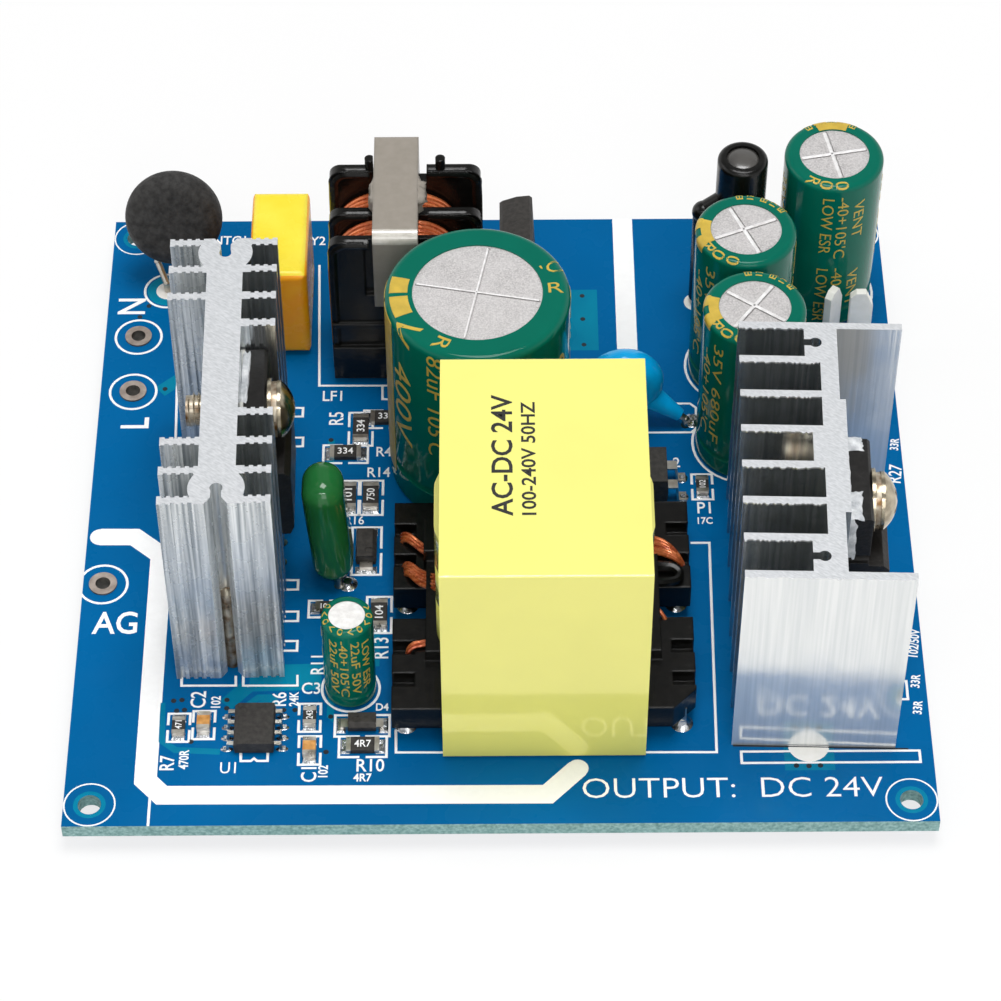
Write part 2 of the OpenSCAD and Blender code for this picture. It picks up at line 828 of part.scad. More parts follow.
// Racetrack slab with a half-round rim, seen from its flat side
module film_body() {
    rim = film_t / 2;
    reach = film_w / 2 - rim;
    rise = film_h / 2 - rim;
    linear_extrude(film_t, center = true)
        square([2 * reach, 2 * rise], center = true);
    for (y = [-1, 1])
        translate([0, y * rise, 0])
            rotate([0, 90, 0])
                cylinder(r = rim, h = 2 * reach, center = true);
    for (x = [-1, 1]) {
        translate([x * reach, 0, 0])
            rotate([90, 0, 0])
                cylinder(r = rim, h = 2 * rise, center = true);
        for (y = [-1, 1])
            translate([x * reach, y * rise, 0])
                sphere(rim);
    }
}

module film_capacitor_leads() {
    color("#c2bdb4")
        straight_leads(film_leads, lead_d, film_z + 2.5);
}

safety_z = 1.8 + safety_d / 2;

// Paths of the safety capacitor's leads, flared outwards to their holes
function safety_path(i) =
    let (p = safety_leads[i], side = i == 0 ? 2 : -2, drop = i == 0 ? 1.7 : 2.6)
    [[p.x, p.y, 0], [p.x, p.y, board_top + 1],
     [safety_pos.x + side, safety_pos.y, board_top + safety_z - drop]];

// Blue ceramic disc between the two sides of the supply, its coat run down over one lead
module safety_capacitor() {
    path = safety_path(0);
    color("#1483c8")
        difference() {
            union() {
                on_board(safety_pos, safety_z)
                    rotate([90, 0, 0])
                        dipped_disc(safety_d, safety_t);
                along(path[1], path[2])
                    translate([0, 0, 0.8])
                        cylinder(d1 = 1.4, d2 = 3, h = norm(path[2] - path[1]) - 0.8);
            }
            for (i = [0, 1])
                wire(safety_path(i), lead_d);
        }
}

module safety_capacitor_leads() {
    color("#c2bdb4")
        for (i = [0, 1])
            wire(safety_path(i), lead_d);
}

// Heatsinks

// Fin along +X from x = 0 with ribbed faces, in the XY plane
module ribbed_fin(reach) {
    count = floor((reach - 0.3) / rib_pitch);
    difference() {
        translate([0, -fin_t / 2])
            square([reach, fin_t]);
        for (i = [0:count - 1], side = [-1, 1])
            translate([reach - (i + 0.85) * rib_pitch, side * fin_t / 2])
                square([rib_pitch / 2, 2 * rib_depth], center = true);
    }
}

// Keyhole open towards -Y, for a pin pressed in along Z
module keyhole() {
    translate([0, key_depth])
        circle(key_r);
    translate([-0.5, -eps])
        square([1, key_depth]);
    polygon([[-1.1, -eps], [1.1, -eps], [0.5, 0.8], [-0.5, 0.8]]);
}

// Half of the primary profile: the fins at one end of the web
module primary_end() {
    for (i = [0:3])
        translate([primary_web / 2 - eps, fin_t / 2 + i * primary_fin_pitch])
            ribbed_fin(primary_fin_right + eps);
    for (i = [0:2])
        translate([-primary_web / 2 + eps, fin_t / 2 + i * primary_fin_pitch])
            mirror([1, 0])
                ribbed_fin(primary_fin_left + eps);
    intersection() {
        translate([0, key_depth])
            circle(primary_web / 2 + 0.9);
        translate([-primary_web, 0])
            square([2 * primary_web, 2 * key_depth]);
    }
}

// Primary heatsink: an extruded web with ribbed fins at both ends and a bay for its transistor
module primary_heatsink() {
    color("#c9cbcd")
        difference() {
            on_board(primary_pos)
                rotate(primary_turn)
                    linear_extrude(sink_h)
                        difference() {
                            union() {
                                translate([-primary_web / 2, 0])
                                    square([primary_web, primary_len]);
                                primary_end();
                                translate([0, primary_len])
                                    mirror([0, 1])
                                        primary_end();
                            }
                            keyhole();
                            translate([0, primary_len])
                                mirror([0, 1])
                                    keyhole();
                        }
            on_screw_axis(switch_seat, -primary_web - 1)
                cylinder(d = screw_d + 2 * screw_clear, h = primary_web + 2);
        }
}

// Section of the secondary heatsink: a comb of fins on a spine between two end plates, with a raised seat
module secondary_section() {
    spine_l = -secondary_spine / 2;
    spine_r = secondary_spine / 2;
    key_boss = 1.45;
    mid_boss = 1;
    difference() {
        union() {
            translate([spine_l, 0])
                square([secondary_spine, secondary_len]);
            translate([spine_r - eps, rectifier_seat[2].y - seat_l / 2])
                square([seat_rise + eps, seat_l]);
            for (i = [0:secondary_slots])
                translate([spine_l - secondary_fin_reach, i * secondary_fin_pitch])
                    square([secondary_fin_reach + eps, secondary_fin_t]);
            for (y = [0, secondary_len - secondary_fin_t])
                translate([spine_r - eps, y])
                    square([secondary_plate_reach + eps, secondary_fin_t]);
            for (i = [0, secondary_slots - 1])
                translate([spine_l - key_boss, secondary_fin_t / 2 + i * secondary_fin_pitch])
                    square([key_boss + eps, secondary_fin_pitch]);
            translate([spine_l - mid_boss, secondary_fin_t / 2 + 3 * secondary_fin_pitch])
                square([mid_boss + eps, secondary_fin_pitch]);
        }
        for (i = [0.5, secondary_slots - 0.5])
            translate([secondary_key_x, secondary_fin_t / 2 + i * secondary_fin_pitch]) {
                circle(key_r);
                translate([-2 * key_boss, -0.4])
                    square([2 * key_boss, 0.8]);
            }
    }
}

module secondary_heatsink() {
    color("#c9cbcd")
        difference() {
            on_board(secondary_pos)
                rotate(secondary_turn)
                    linear_extrude(secondary_h)
                        secondary_section();
            on_screw_axis(rectifier_seat, head_x - screw_len - 0.3)
                cylinder(d = screw_d + 2 * screw_clear, h = screw_len + 0.3);
        }
}

// Pins pressed into the keyholes and soldered in the board
module heatsink_pins() {
    color("#b8ac98")
        straight_leads(sink_pins, sink_pin_d, sink_pin_len);
}

// Power transistors

// Moulded transistor body: thick below, a thinner tab with the screw hole above
module transistor_case() {
    step = case_h - tab_h;
    difference() {
        translate([0, case_w / 2, 0])
            rotate([90, 0, 0])
                linear_extrude(case_w)
                    polygon([[0, 0], [case_t - 0.4, 0], [case_t, 1], [case_t, step - 0.6],
                        [case_t - 0.6, step], [tab_t, step], [tab_t, case_h - 0.3],
                        [tab_t - 0.3, case_h], [0, case_h]]);
        translate([-eps, 0, case_h - screw_drop])
            rotate([0, 90, 0])
                cylinder(d = screw_d + 2 * screw_clear, h = case_t);
        for (y = [-1, 1])
            translate([-eps, y * case_w / 2, step + 1])
                rotate([0, 90, 0])
                    cylinder(d = 1.2, h = case_t);
    }
}

// Puts its children on a transistor's seat, with +X pointing out of the heatsink
module on_seat(seat, x, z) {
    on_board(seat[0])
        rotate(seat[1])
            translate([seat[2].x + x, seat[2].y, z])
                children();
}

// Puts its children on a transistor's screw axis, with +Z pointing out of the tab
module on_screw_axis(seat, x) {
    on_seat(seat, x, seat[3] + case_h - screw_drop)
        rotate([0, 90, 0])
            children();
}

// Flat leads of a transistor, wide at the body and narrow in the board
module transistor_leads(seat) {
    for (y = row([0, 0], case_pitch, 3))
        on_seat(seat, case_lead_x, -board_top)
            translate([-case_lead_t / 2, y.x, 0]) {
                translate([0, -case_lead_w / 2, 0])
                    cube([case_lead_t, case_lead_w, board_top + seat[3]]);
                translate([0, -0.6, board_top + seat[3] - 3.4])
                    cube([case_lead_t, 1.2, 3.4]);
            }
}

module switch_transistor() {
    color("#2a2827")
        on_seat(switch_seat, thermal_pad_t, switch_z)
            transistor_case();
}

module switch_leads() {
    color("#c2bdb4")
        transistor_leads(switch_seat);
}

module output_rectifier() {
    color("#2a2827")
        on_seat(rectifier_seat, thermal_pad_t, rectifier_z)
            transistor_case();
}

module rectifier_leads() {
    color("#c2bdb4")
        transistor_leads(rectifier_seat);
}

// Thin pads between the transistors and their heatsinks
module thermal_pads() {
    color("#d9d9d6")
        for (s = seats)
            on_seat(s, 0, s[3])
                difference() {
                    translate([0, -case_w / 2, 0])
                        cube([thermal_pad_t, case_w, case_h]);
                    translate([-eps, 0, case_h - screw_drop])
                        rotate([0, 90, 0])
                            cylinder(d = screw_d + 2 * screw_clear, h = 1);
                }
}

// Pan-head screws with a cross recess
module fixing_screws() {
    dome_r = (pow(screw_head_d / 2, 2) + pow(screw_head_h, 2)) / (2 * screw_head_h);
    color("#c7c0b3")
        for (s = seats)
            on_screw_axis(s, head_x)
                difference() {
                    union() {
                        intersection() {
                            cylinder(d = screw_head_d, h = screw_head_h);
                            translate([0, 0, screw_head_h - dome_r * 1.15])
                                sphere(dome_r * 1.15);
                        }
                        translate([0, 0, -screw_len])
                            cylinder(d = screw_d, h = screw_len + eps);
                    }
                    for (a = [0, 90])
                        rotate(a)
                            translate([-1.5, -0.3, screw_head_h - 1.1])
                                cube([3, 0.6, 2]);
                }
}

// Split ring under each screw head
module spring_washers() {
    color("#b9b2a4")
        for (s = seats)
            on_screw_axis(s, head_x - spring_washer_t)
                difference() {
                    cylinder(d = screw_head_d - 0.2, h = spring_washer_t);
                    translate([0, 0, -eps])
                        cylinder(d = screw_d + 2 * screw_clear, h = 1);
                    translate([0, -0.2, -eps])
                        cube([screw_head_d, 0.4, 1]);
                }
}

module flat_washers() {
    color("#c7c0b3")
        for (s = seats)
            on_screw_axis(s, thermal_pad_t + tab_t)
                difference() {
                    cylinder(d = screw_head_d + 0.6, h = flat_washer_t);
                    translate([0, 0, -eps])
                        cylinder(d = screw_d + 2 * screw_clear, h = 1);
                }
}

// Transformer

// One half of the ferrite core: a plate with two outer legs and a round post
module core_half() {
    half = core_h / 2 - core_gap / 2;
    difference() {
        translate([-core_w / 2, -core_l / 2, 0])
            cube([core_w, core_l, half]);
        translate([0, 0, core_plate])
            cylinder(d = core_window_d, h = half);
    }
    cylinder(d = core_post_d, h = half);
}

module transformer_core() {
    color("#5c5854")
        on_board(transformer_pos, core_z) {
            core_half();
            translate([0, 0, core_h])
                mirror([0, 0, 1])
                    core_half();
        }
}

// One block of a pin rail with its two wire slots, about its middle and out to +X
module rail_block() {
    slot = 1.6;
    difference() {
        translate([rail_x, -rail_block / 2, rail_z])
            cube([rail_out - rail_x, rail_block, rail_h]);
        for (s = [-1, 1])
            translate([rail_out - 2.2, s * rail_pitch / 2 - slot / 2, rail_z + rail_h - 1.5])
                cube([rail_reach, slot, rail_h]);
    }
}

// Black moulded bobbin: tube, two flanges, the two pin rails and a wire guard on one of them
module transformer_bobbin() {
    flange_z = core_z + core_plate;
    color("#1d1c1c")
        difference() {
            on_board(transformer_pos) {
                difference() {
                    union() {
                        translate([0, 0, flange_z])
                            cylinder(d = tube_d, h = window_h - 0.1);
                        for (z = [flange_z, flange_z + window_h - 0.1 - flange_t])
                            translate([0, 0, z])
                                cylinder(d = core_window_d - 0.3, h = flange_t);
                        for (s = [-1, 1])
                            translate([s * (rail_x + 0.3) - 1.3, -5, flange_z])
                                cube([2.6, 10, flange_t]);
                    }
                    translate([0, 0, flange_z - eps])
                        cylinder(d = core_post_d + 0.3, h = window_h + 1);
                }
                for (s = [0, 1], y = rail_blocks)
                    mirror([s, 0, 0])
                        translate([0, y, 0])
                            rail_block();
                for (s = [0, 1])
                    mirror([s, 0, 0])
                        translate([rail_x, -5, rail_z])
                            cube([1.6, 12, flange_z + flange_t - rail_z]);
                translate([-rail_x - 1.85, rail_blocks[1] - 3.1, rail_z + rail_h - 0.5])
                    cube([1.5, 4.2, 3.4]);
            }
            square_pins(transformer_pin_places, pin_w, rail_z + 1.2);
            on_board(transformer_pos + [rail_out, rail_blocks[0] - rail_block / 2])
                rotate(45)
                    cube([3.2, 3.2, 20], center = true);
        }
}

// Layered winding wrapped in yellow tape, bulging past the open sides of the core
module transformer_winding() {
    h = window_h - 2 * flange_t - 0.1;
    build = (winding_d - tube_d) / 2;
    color("#e6d21e")
        on_board(transformer_pos, core_z + core_plate + flange_t)
            rotate_extrude()
                translate([tube_d / 2, 0])
                    difference() {
                        square([build, h]);
                        for (z = [0.33, 0.66])
                            translate([build, z * h])
                                circle(0.15);
                    }
}

// Yellow tape wound around the core, over its top, ends and underside
module transformer_tape() {
    wrap_w = core_w + 2 * tape_t;
    color("#efe96a")
        on_board(transformer_pos + [-wrap_w / 2, 0], core_z + core_h / 2)
            rotate([90, 0, 90])
                linear_extrude(wrap_w)
                    difference() {
                        rounded_rect(core_l + 2 * tape_t, core_h + 2 * tape_t, tape_t);
                        square([core_l, core_h], center = true);
                    }
}

module transformer_pins() {
    color("#c2bdb4")
        square_pins(transformer_pin_places, pin_w, rail_z + 1.2);
}

// Copper wire ends from the winding out over the pin rails
module transformer_wires() {
    d = 0.5;
    z0 = board_top + rail_z + rail_h + d / 2;
    back = transformer_pos.y + rail_blocks[1];
    front = transformer_pos.y + rail_blocks[0];
    out = rail_out - 0.9;
    strands = [[-1, back + 1.1, 2, -1.8], [-1, back - 2.4, 4, -2], [-1, front + 2, 1, 0],
        [1, back - 2.4, 5, 1.6]];
    color("#b5562b")
        for (s = strands, i = [0:s[2] - 1]) {
            y = s[1] + (i - (s[2] - 1) / 2) * d;
            x0 = transformer_pos.x + s[0] * out;
            x1 = transformer_pos.x + s[0] * (rail_x + 2.1);
            wire([[x0, y, z0], [x1, y + s[3], z0]], d);
        }
}

// Output side

// Rod inductor in a black shrink sleeve, with its sleeved return lead beside it
module rod_choke() {
    lip = 0.6;
    z = board_top + 13.4;
    color("#161515") {
        on_board(rod_pos, 0.6)
            rotate_extrude()
                difference() {
                    union() {
                        square([rod_d / 2 - lip, rod_h]);
                        square([rod_d / 2, rod_h - lip]);
                        translate([rod_d / 2 - lip, rod_h - lip])
                            circle(lip);
                    }
                    translate([-rod_d, 0])
                        square([rod_d, rod_h]);
                    translate([0, rod_h - 0.35])
                        square([rod_d / 2 - 0.9, 1]);
                }
        wire([[rod_return.x, rod_return.y, board_top + 0.8], [rod_return.x, rod_return.y, z],
            [rod_pos.x, rod_pos.y, z + 2.4]], 2.2);
    }
}

// Tinned ends of the rod choke's two leads
module rod_choke_leads() {
    color("#c2bdb4") {
        straight_leads([rod_pos], lead_d, 0.6);
        straight_leads([rod_return], lead_d, 0.8);
    }
}

// Two tinned blade terminals for the output wires
module output_blades() {
    color("#e8e6e2")
        for (i = [0, 1])
            translate([blade_pos[i].x, blade_pos[i].y, 0])
                rotate(blade_turn[i]) {
                    translate([-blade_t / 2, -blade_t / 2, 0])
                        cube([blade_t, blade_t, board_top + 0.5]);
                    translate([0, blade_t / 2, board_top])
                        rotate([90, 0, 0])
                            linear_extrude(blade_t)
                                polygon([[-blade_w / 2, 0], [blade_w / 2, 0],
                                    [blade_w / 2, blade_h - 1.8], [blade_w / 2 - 0.8, blade_h],
                                    [-blade_w / 4, blade_h], [-blade_w / 2, blade_h - 0.6]]);
                }
}

// Surface-mounted parts

chip_l = 4.9;
chip_w = 3.9;
gull_span = 6;

// Gull-wing leads on both sides along X, pins counted along Y
module gull_leads(pins, pitch, body_w, span, w, z_mid) {
    t = 0.22;
    foot = (span - body_w) / 2;
    for (i = [0:pins - 1], s = [-1, 1])
        translate([0, (i - (pins - 1) / 2) * pitch + w / 2, 0])
            rotate([90, 0, 0])
                linear_extrude(w)
                    mirror([s < 0 ? 1 : 0, 0])
                        polygon([[body_w / 2, z_mid], [body_w / 2, z_mid + t],
                            [body_w / 2 + foot * 0.4 + t, z_mid + t], [body_w / 2 + foot * 0.5 + t, t],
                            [span / 2, t], [span / 2, 0], [body_w / 2 + foot * 0.5, 0],
                            [body_w / 2 + foot * 0.4, z_mid]]);
}

// Moulded chip body with drafted sides and a chamfered long edge
module chip_body(w, l, z0, h) {
    difference() {
        translate([0, l / 2, z0])
            rotate([90, 0, 0])
                linear_extrude(l)
                    polygon([[-w / 2 + 0.12, 0], [w / 2 - 0.12, 0], [w / 2, h / 2],
                        [w / 2 - 0.12, h], [-w / 2 + 0.4, h], [-w / 2, h - 0.4], [-w / 2, h / 2]]);
        translate([-w / 2 + 0.8, l / 2 - 0.8, z0 + h - 0.08])
            cylinder(d = 0.7, h = 1);
    }
}

module controller_chip() {
    color("#2b2a2a")
        on_board(controller_pos)
            chip_body(chip_w, chip_l, 0.15, 1.45);
}

module controller_leads() {
    color("#cfcac2")
        on_board(controller_pos)
            gull_leads(4, 1.27, chip_w, gull_span, 0.42, 0.8);
}

opto_w = 6.2;
opto_l = 4.6;

module optocoupler() {
    color("#222121")
        on_board(opto_pos)
            chip_body(opto_w, opto_l, 0.3, 3.4);
}

module optocoupler_leads() {
    color("#cfcac2")
        on_board(opto_pos)
            gull_leads(2, 2.54, opto_w, 10, 1.1, 1.9);
}

// Puts its children on the board at a chip's place and turn
module at_chip(c) {
    on_board([c[0], c[1]])
        rotate(c[2])
            children();
}

// Block about its middle, standing on the board
module chip_block(l, w, h) {
    translate([-l / 2, -w / 2, 0])
        cube([l, w, h]);
}

module chip_resistors() {
    color("#262525")
        for (c = chip_resistor_places)
            at_chip(c)
                chip_block(c[3] - 2 * cap_len, c[4], c[5]);
}

module chip_capacitors() {
    color("#c08f5a")
        for (c = chip_capacitor_places)
            at_chip(c)
                chip_block(c[3] - 2 * cap_len, c[4], c[5]);
}

module chip_end_caps() {
    color("#cfcac2")
        for (c = concat(chip_resistor_places, chip_capacitor_places), s = [-1, 1])
            at_chip(c)
                translate([s * (c[3] - cap_len) / 2, 0, 0])
                    chip_block(cap_len, c[4], c[5]);
}

module diode_bodies() {
    color("#3a3735")
        for (c = diode_places)
            at_chip(c)
                rotate(90)
                    chip_body(c[4], c[3], 0.1, c[5] - 0.1);
}

module diode_tabs() {
    color("#cfcac2")
        for (c = diode_places, s = [-1, 1])
            at_chip(c)
                translate([s * (c[3] / 2 + 0.35), 0, 0])
                    chip_block(0.7, c[4] * 0.6, 0.5);
}

circuit_board();
wire_eyelets();
solder_joints();
surge_disc();
surge_disc_leads();
line_filter_capacitor();
line_filter_capacitor_leads();
choke_core();
choke_bobbin();
choke_windings();
choke_pins();
bridge_rectifier();
bridge_leads();
bulk_can();
bulk_sleeve();
startup_can();
startup_sleeve();
output_cans();
output_sleeves();
capacitor_seals();
capacitor_leads();
film_capacitor();
film_capacitor_leads();
safety_capacitor();
safety_capacitor_leads();
primary_heatsink();
secondary_heatsink();
heatsink_pins();
switch_transistor();
switch_leads();
output_rectifier();
rectifier_leads();
thermal_pads();
fixing_screws();
spring_washers();
flat_washers();
transformer_core();
transformer_bobbin();
transformer_winding();
transformer_tape();
transformer_pins();
transformer_wires();
rod_choke();
rod_choke_leads();
output_blades();
controller_chip();
controller_leads();
optocoupler();
optocoupler_leads();
chip_resistors();
chip_capacitors();
chip_end_caps();
diode_bodies();
diode_tabs();
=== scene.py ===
"""Looks of an open-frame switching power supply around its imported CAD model."""

import json
import random
from math import cos, pi, radians, sin

import bmesh
import bpy
from mathutils import Matrix, Vector


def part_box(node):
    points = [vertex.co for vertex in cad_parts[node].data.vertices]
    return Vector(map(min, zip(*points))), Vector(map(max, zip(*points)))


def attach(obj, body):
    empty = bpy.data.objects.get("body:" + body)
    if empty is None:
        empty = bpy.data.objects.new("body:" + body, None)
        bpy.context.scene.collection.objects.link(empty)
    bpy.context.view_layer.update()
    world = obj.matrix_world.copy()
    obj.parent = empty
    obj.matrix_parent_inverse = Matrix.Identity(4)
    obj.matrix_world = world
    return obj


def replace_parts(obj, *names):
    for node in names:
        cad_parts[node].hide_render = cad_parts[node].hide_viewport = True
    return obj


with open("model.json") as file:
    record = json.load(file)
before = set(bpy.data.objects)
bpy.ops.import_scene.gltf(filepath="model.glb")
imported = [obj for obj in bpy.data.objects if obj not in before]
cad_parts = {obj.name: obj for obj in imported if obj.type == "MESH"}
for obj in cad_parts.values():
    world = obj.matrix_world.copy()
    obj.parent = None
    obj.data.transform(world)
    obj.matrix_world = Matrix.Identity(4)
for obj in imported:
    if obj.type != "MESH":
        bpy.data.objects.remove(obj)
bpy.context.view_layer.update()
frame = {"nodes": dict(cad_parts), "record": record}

bl_info = {
    "name": "Switching Power Supply Looks",
    "version": (1, 0, 0),
    "blender": (4, 5, 0),
    "location": "View3D > Sidebar > Power Supply",
    "description": "Dresses the supply's board, heatsinks, wound parts and capacitors",
    "category": "Object",
}

MM = 0.001
NODES = frame["nodes"]
BOARD_LOW, BOARD_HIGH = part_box("circuit_board")
TOP = BOARD_HIGH.z

CAMERA = {"elevation": 49.853, "azimuth": 0.159, "roll": -0.225, "distance": 0.355682,
          "target": (0.000203, -0.000072), "focal_pixels": 3496.263, "frame_pixels": 1001.0}

# name, place, width and depth in metres, and share of the key light's power
LAMPS = (
    ("overhead", (0.03, 0.05, 0.56), 0.24, 0.24, 0.9), ("front", (0.1, -0.55, 0.4), 0.3, 0.3, 0.4),
    ("left", (-0.5, 0.1, 0.35), 0.3, 0.3, 0.15), ("strip", (0.0, -0.3, 0.4), 0.3, 0.007, 0.2),
)

# All places and sizes below are in millimetres, from the middle of the board's top, and turns are in degrees.

# thickness of ink and of copper under the mask, and how far pads reach into the board
INK = 0.03
COPPER = 0.008
SUNK = 0.02

# radius of the silk rings, and inner and outer radius of the bare ring round a mounting hole
SILK_RING = 2.42
HOLE_RING = (1.12, 1.55)

# length, width and height of the chips' bodies
SMALL = (2, 1.25, 0.5)
LARGE = (3.2, 1.6, 0.55)
TALL = (2, 1.25, 0.9)
DIODE = (3.9, 1.7, 1.2)
LONG_DIODE = (4.8, 2.1, 1.4)

# x, y, turn, body and the mark on top
CHIPS = (
    (-31, -28.5, 90, SMALL, "471"), (-18.4, -27.4, 90, SMALL, "243"), (-13.2, -30.9, 0, LARGE, "4R7"),
    (-14.2, 9.7, 90, LARGE, "334"), (-15.7, 6.3, 0, LARGE, "334"), (-15.3, 0.4, 90, LARGE, "101"),
    (-13, 0.4, 90, LARGE, "750"), (-11.9, -14.8, 90, LARGE, "104"), (-17.2, -14, 0, SMALL, "103"),
    (20.8, 1.6, 90, SMALL, "102"), (-11.6, 11.06, 0, LARGE, "334"), (-28.6, -28.2, 90, TALL, ""),
    (-18.3, -31.3, 90, TALL, ""), (-13.3, -28.4, 0, DIODE, ""), (-13.3, -6.6, 90, LONG_DIODE, ""),
)

# mounting holes and wire pads from the record, and the pad of the surge disc's front lead
HOLES, *BORES = frame["record"]["mounts"]
MOUNTS = [(sx * HOLES["dims"]["spacing_x_mm"] / 2, sy * HOLES["dims"]["spacing_y_mm"] / 2)
          for sx in (-1, 1) for sy in (-1, 1)]
DISC_PAD = (-35.3, 29.6)
WIRE_PADS = [(x / MM, y / MM) for x, y, z in (bore["pos_m"] for bore in BORES)] + [DISC_PAD]

# solder on a chip's pad: how much wider than the chip, how far past its end, and its height
CHIP_SOLDER = (0.15, 0.12, 0.22)
# solder on a chip lead's foot: in from the toe, half its length, past the lead's sides, and its height
FOOT_SOLDER = (0.35, 0.62, 0.12, 0.3)
# half width and height of solder round the transformer's pins, and round two leads at their places
PIN_SOLDER = (1.15, 1.0)
LEAD_SOLDER = (1.0, 0.5)
LEADS = ((20.2, 10.6), (-15.07, -10.85))
# radius, height and places of bare tinned pads
BARE_PADS = ((2.1, 0.04, [(29.6, -31.0)]), (1.3, 0.05, [(-35.27, 29.59), (21.2, 27.5)]))
# radius of copper round the surge disc's pad and of a via
PAD_COPPER = 2.3
VIA = 0.28

# width of the copper fields and traces that show through the mask, and their runs
COPPER_RUNS = {
    3.2: [[(-24.4, -22.6), (-17.4, -22.4)], [(27.2, -32.4), (32.0, -32.4)], [(9.1, 20.6), (9.1, 29.4)]],
    1.6: [[(-26.6, -25.8), (-24.6, -23.6)], [(-35.3, 15.1), (-33.0, 17.1)]],
    0.7: [[(-25.3, -26.6), (-23.4, -24.9), (-21.6, -24.9)], [(-24.2, -26.6), (-22.9, -25.5), (-21.6, -25.5)],
          [(-32.8, -25.5), (-32.6, -30), (-31.2, -31.15), (-26.9, -31.4)],
          [(-16.4, -23.6), (-16.4, -27.2), (-15.4, -28.2)], [(-17.2, 8.3), (-17.2, 4.4), (-16.4, 3.4)],
          [(-12.1, -16.8), (-12.1, -21.2)], [(16.6, -3.4), (16.6, -5.6)]],
}

VIAS = (
    (-31.67, -25.26), (-30.87, -25.17), (-31.31, -26.47), (-30.56, -26.38), (-26.5, -25.2), (-26.48, -26.2),
    (-20.94, -26.45), (-19.85, -26.46), (-16.37, -27.29), (-29.75, -30.18), (-16.72, -31.5), (-34.79, 15.46),
    (-37.17, 27.39), (-38.04, 25.79), (-33.1, 17.0), (-17.25, 8.24), (28.3, -33.45), (29.5, -33.5),
    (30.6, -33.45), (9.1, 28.5), (9.1, 25.1), (9.15, 21.4),
)

# white isolation bands; the first has round ends
BANDS = [
    [(-40.2, -4.57), (-36.7, -4.6), (-33.9, -7), (-33.85, -34.7), (-32.2, -36.45), (4.5, -36.6),
     (7.4, -33.6)],
    [(13.7, 40.2), (13.72, -8)],
]

OUTLINES = [
    [(-33.7, 20.17), (-33.3, 8.56)],
    [(-19.14, 33.3), (-18.66, 15.8), (-11.27, 15.75)],
    [(-12.05, 15.76), (-12.02, 13.85), (-11.3, 13.84)],
    [(-31.05, -22.2), (-31.0, -23.42), (-25.72, -23.44), (-25.77, -22.26)],
    [(-25.04, -22.16), (-24.99, -23.47), (-19.71, -23.49), (-19.75, -22.2)],
    [(23.1, -31.75), (40.2, -31.75), (40.2, -33.1), (23.1, -33.1), (23.1, -31.75)],
    [(19.3, -5.8), (21.2, -5.8), (20.75, -31.8), (-10.0, -31.6), (-10.05, -28.9)],
    [(12, 9), (20.0, 9), (20.6, 9.6), (20.6, 12.4), (20.0, 13), (12, 13)],
    [(38.6, -13.2), (40.3, -13.2), (40.3, -15.4), (38.6, -15.4)],
    [(38.6, -16.2), (40.3, -16.2), (40.3, -18.4), (38.6, -18.4)],
    [(38.6, -23.4), (39.6, -23.4), (39.6, -25.6), (38.6, -25.6)],
    [(-24.9, -31.5), (-24.85, -32.5), (-23.9, -32.5), (-23.6, -32.2), (-23.3, -32.5), (-22.3, -32.5),
     (-22.3, -31.5)],
    [(-33.3, -36.3), (-33.3, -40.0)],
]

# small brackets beside the primary heatsink: x near the closed end and y of the middle, then the reach of the
# arms, the closed end past x and half the width
BRACKETS = ((-20.37, 12.1), (-20.24, 8.0), (-20.15, -10.9), (-20.03, -14.9), (-20.0, -18.6))
BRACKET = (1.2, 0.1, 0.6)

# gap between a can and its ring, and from a chip's ends, sides and middle to its two outlines
RING_GAP = 0.3
CHIP_GAPS = (0.68, 0.42, 0.3)

# stroke weight, then text, x, y, turn and height of each word
BOARD_WORDS = {
    0.012: (("N", -39.0, 27.35, 90, 2.9), ("L", -37.65, 10.75, 90, 2.9), ("AG", -38.0, -15.6, 0, 2.8)),
    0.01: (
        ("LF1", -17.25, 14.34, 0, 1.4), ("R5", -16.78, 11.2, 90, 1.5), ("R4", -11.75, 6.61, 0, 1.3),
        ("R14", -12.24, 3.82, 0, 1.3), ("R16", -14.6, -2.58, 0, 1.1), ("R13", -11.65, -18.94, 90, 1.5),
        ("R11", -17.78, -20.99, 90, 1.4), ("C3", -18.38, -23.84, 0, 1.4), ("R6", -21.43, -25.14, 90, 1.4),
        ("C2", -29.29, -25.13, 90, 1.5), ("R7", -31.9, -32.67, 90, 1.4), ("C1", -18.3, -34.15, 90, 1.5),
        ("R10", -12.43, -33.1, 0, 1.5), ("P1", 20.86, -1.2, 0, 1.5), ("2", 18.3, 4.9, 0, 1.3),
        ("R27", 40.6, 3.2, 82, 1.35), ("D1", 38.9, -11.6, 0, 1.3), ("NTC1", -29.0, 37.1, 0, 1.3),
        ("CY2", -19.9, 36.95, 0, 1.3), ("L2", 28.9, 34.6, 0, 1.4),
    ),
    0.02: (
        ("24K", -20.01, -25.13, 90, 0.9), ("102", -27.57, -25.43, 90, 0.95),
        ("470R", -30.32, -32.3, 90, 0.95), ("102", -16.95, -33.77, 90, 0.95),
        ("4R7", -13.16, -34.53, 0, 0.95), ("D4", -11.4, -26.16, 0, 0.9), ("17C", 20.9, -2.9, 0, 0.9),
        ("33R", 40.85, 7.2, 82, 0.9), ("33R", 40.45, -26.6, 82, 0.9), ("33R", 40.5, -23.4, 82, 0.9),
        ("102/50V", 40.75, -18.7, 82, 0.95),
    ),
    0.0: (("U1", -26.04, -33.3, 0, 1.3),),
}

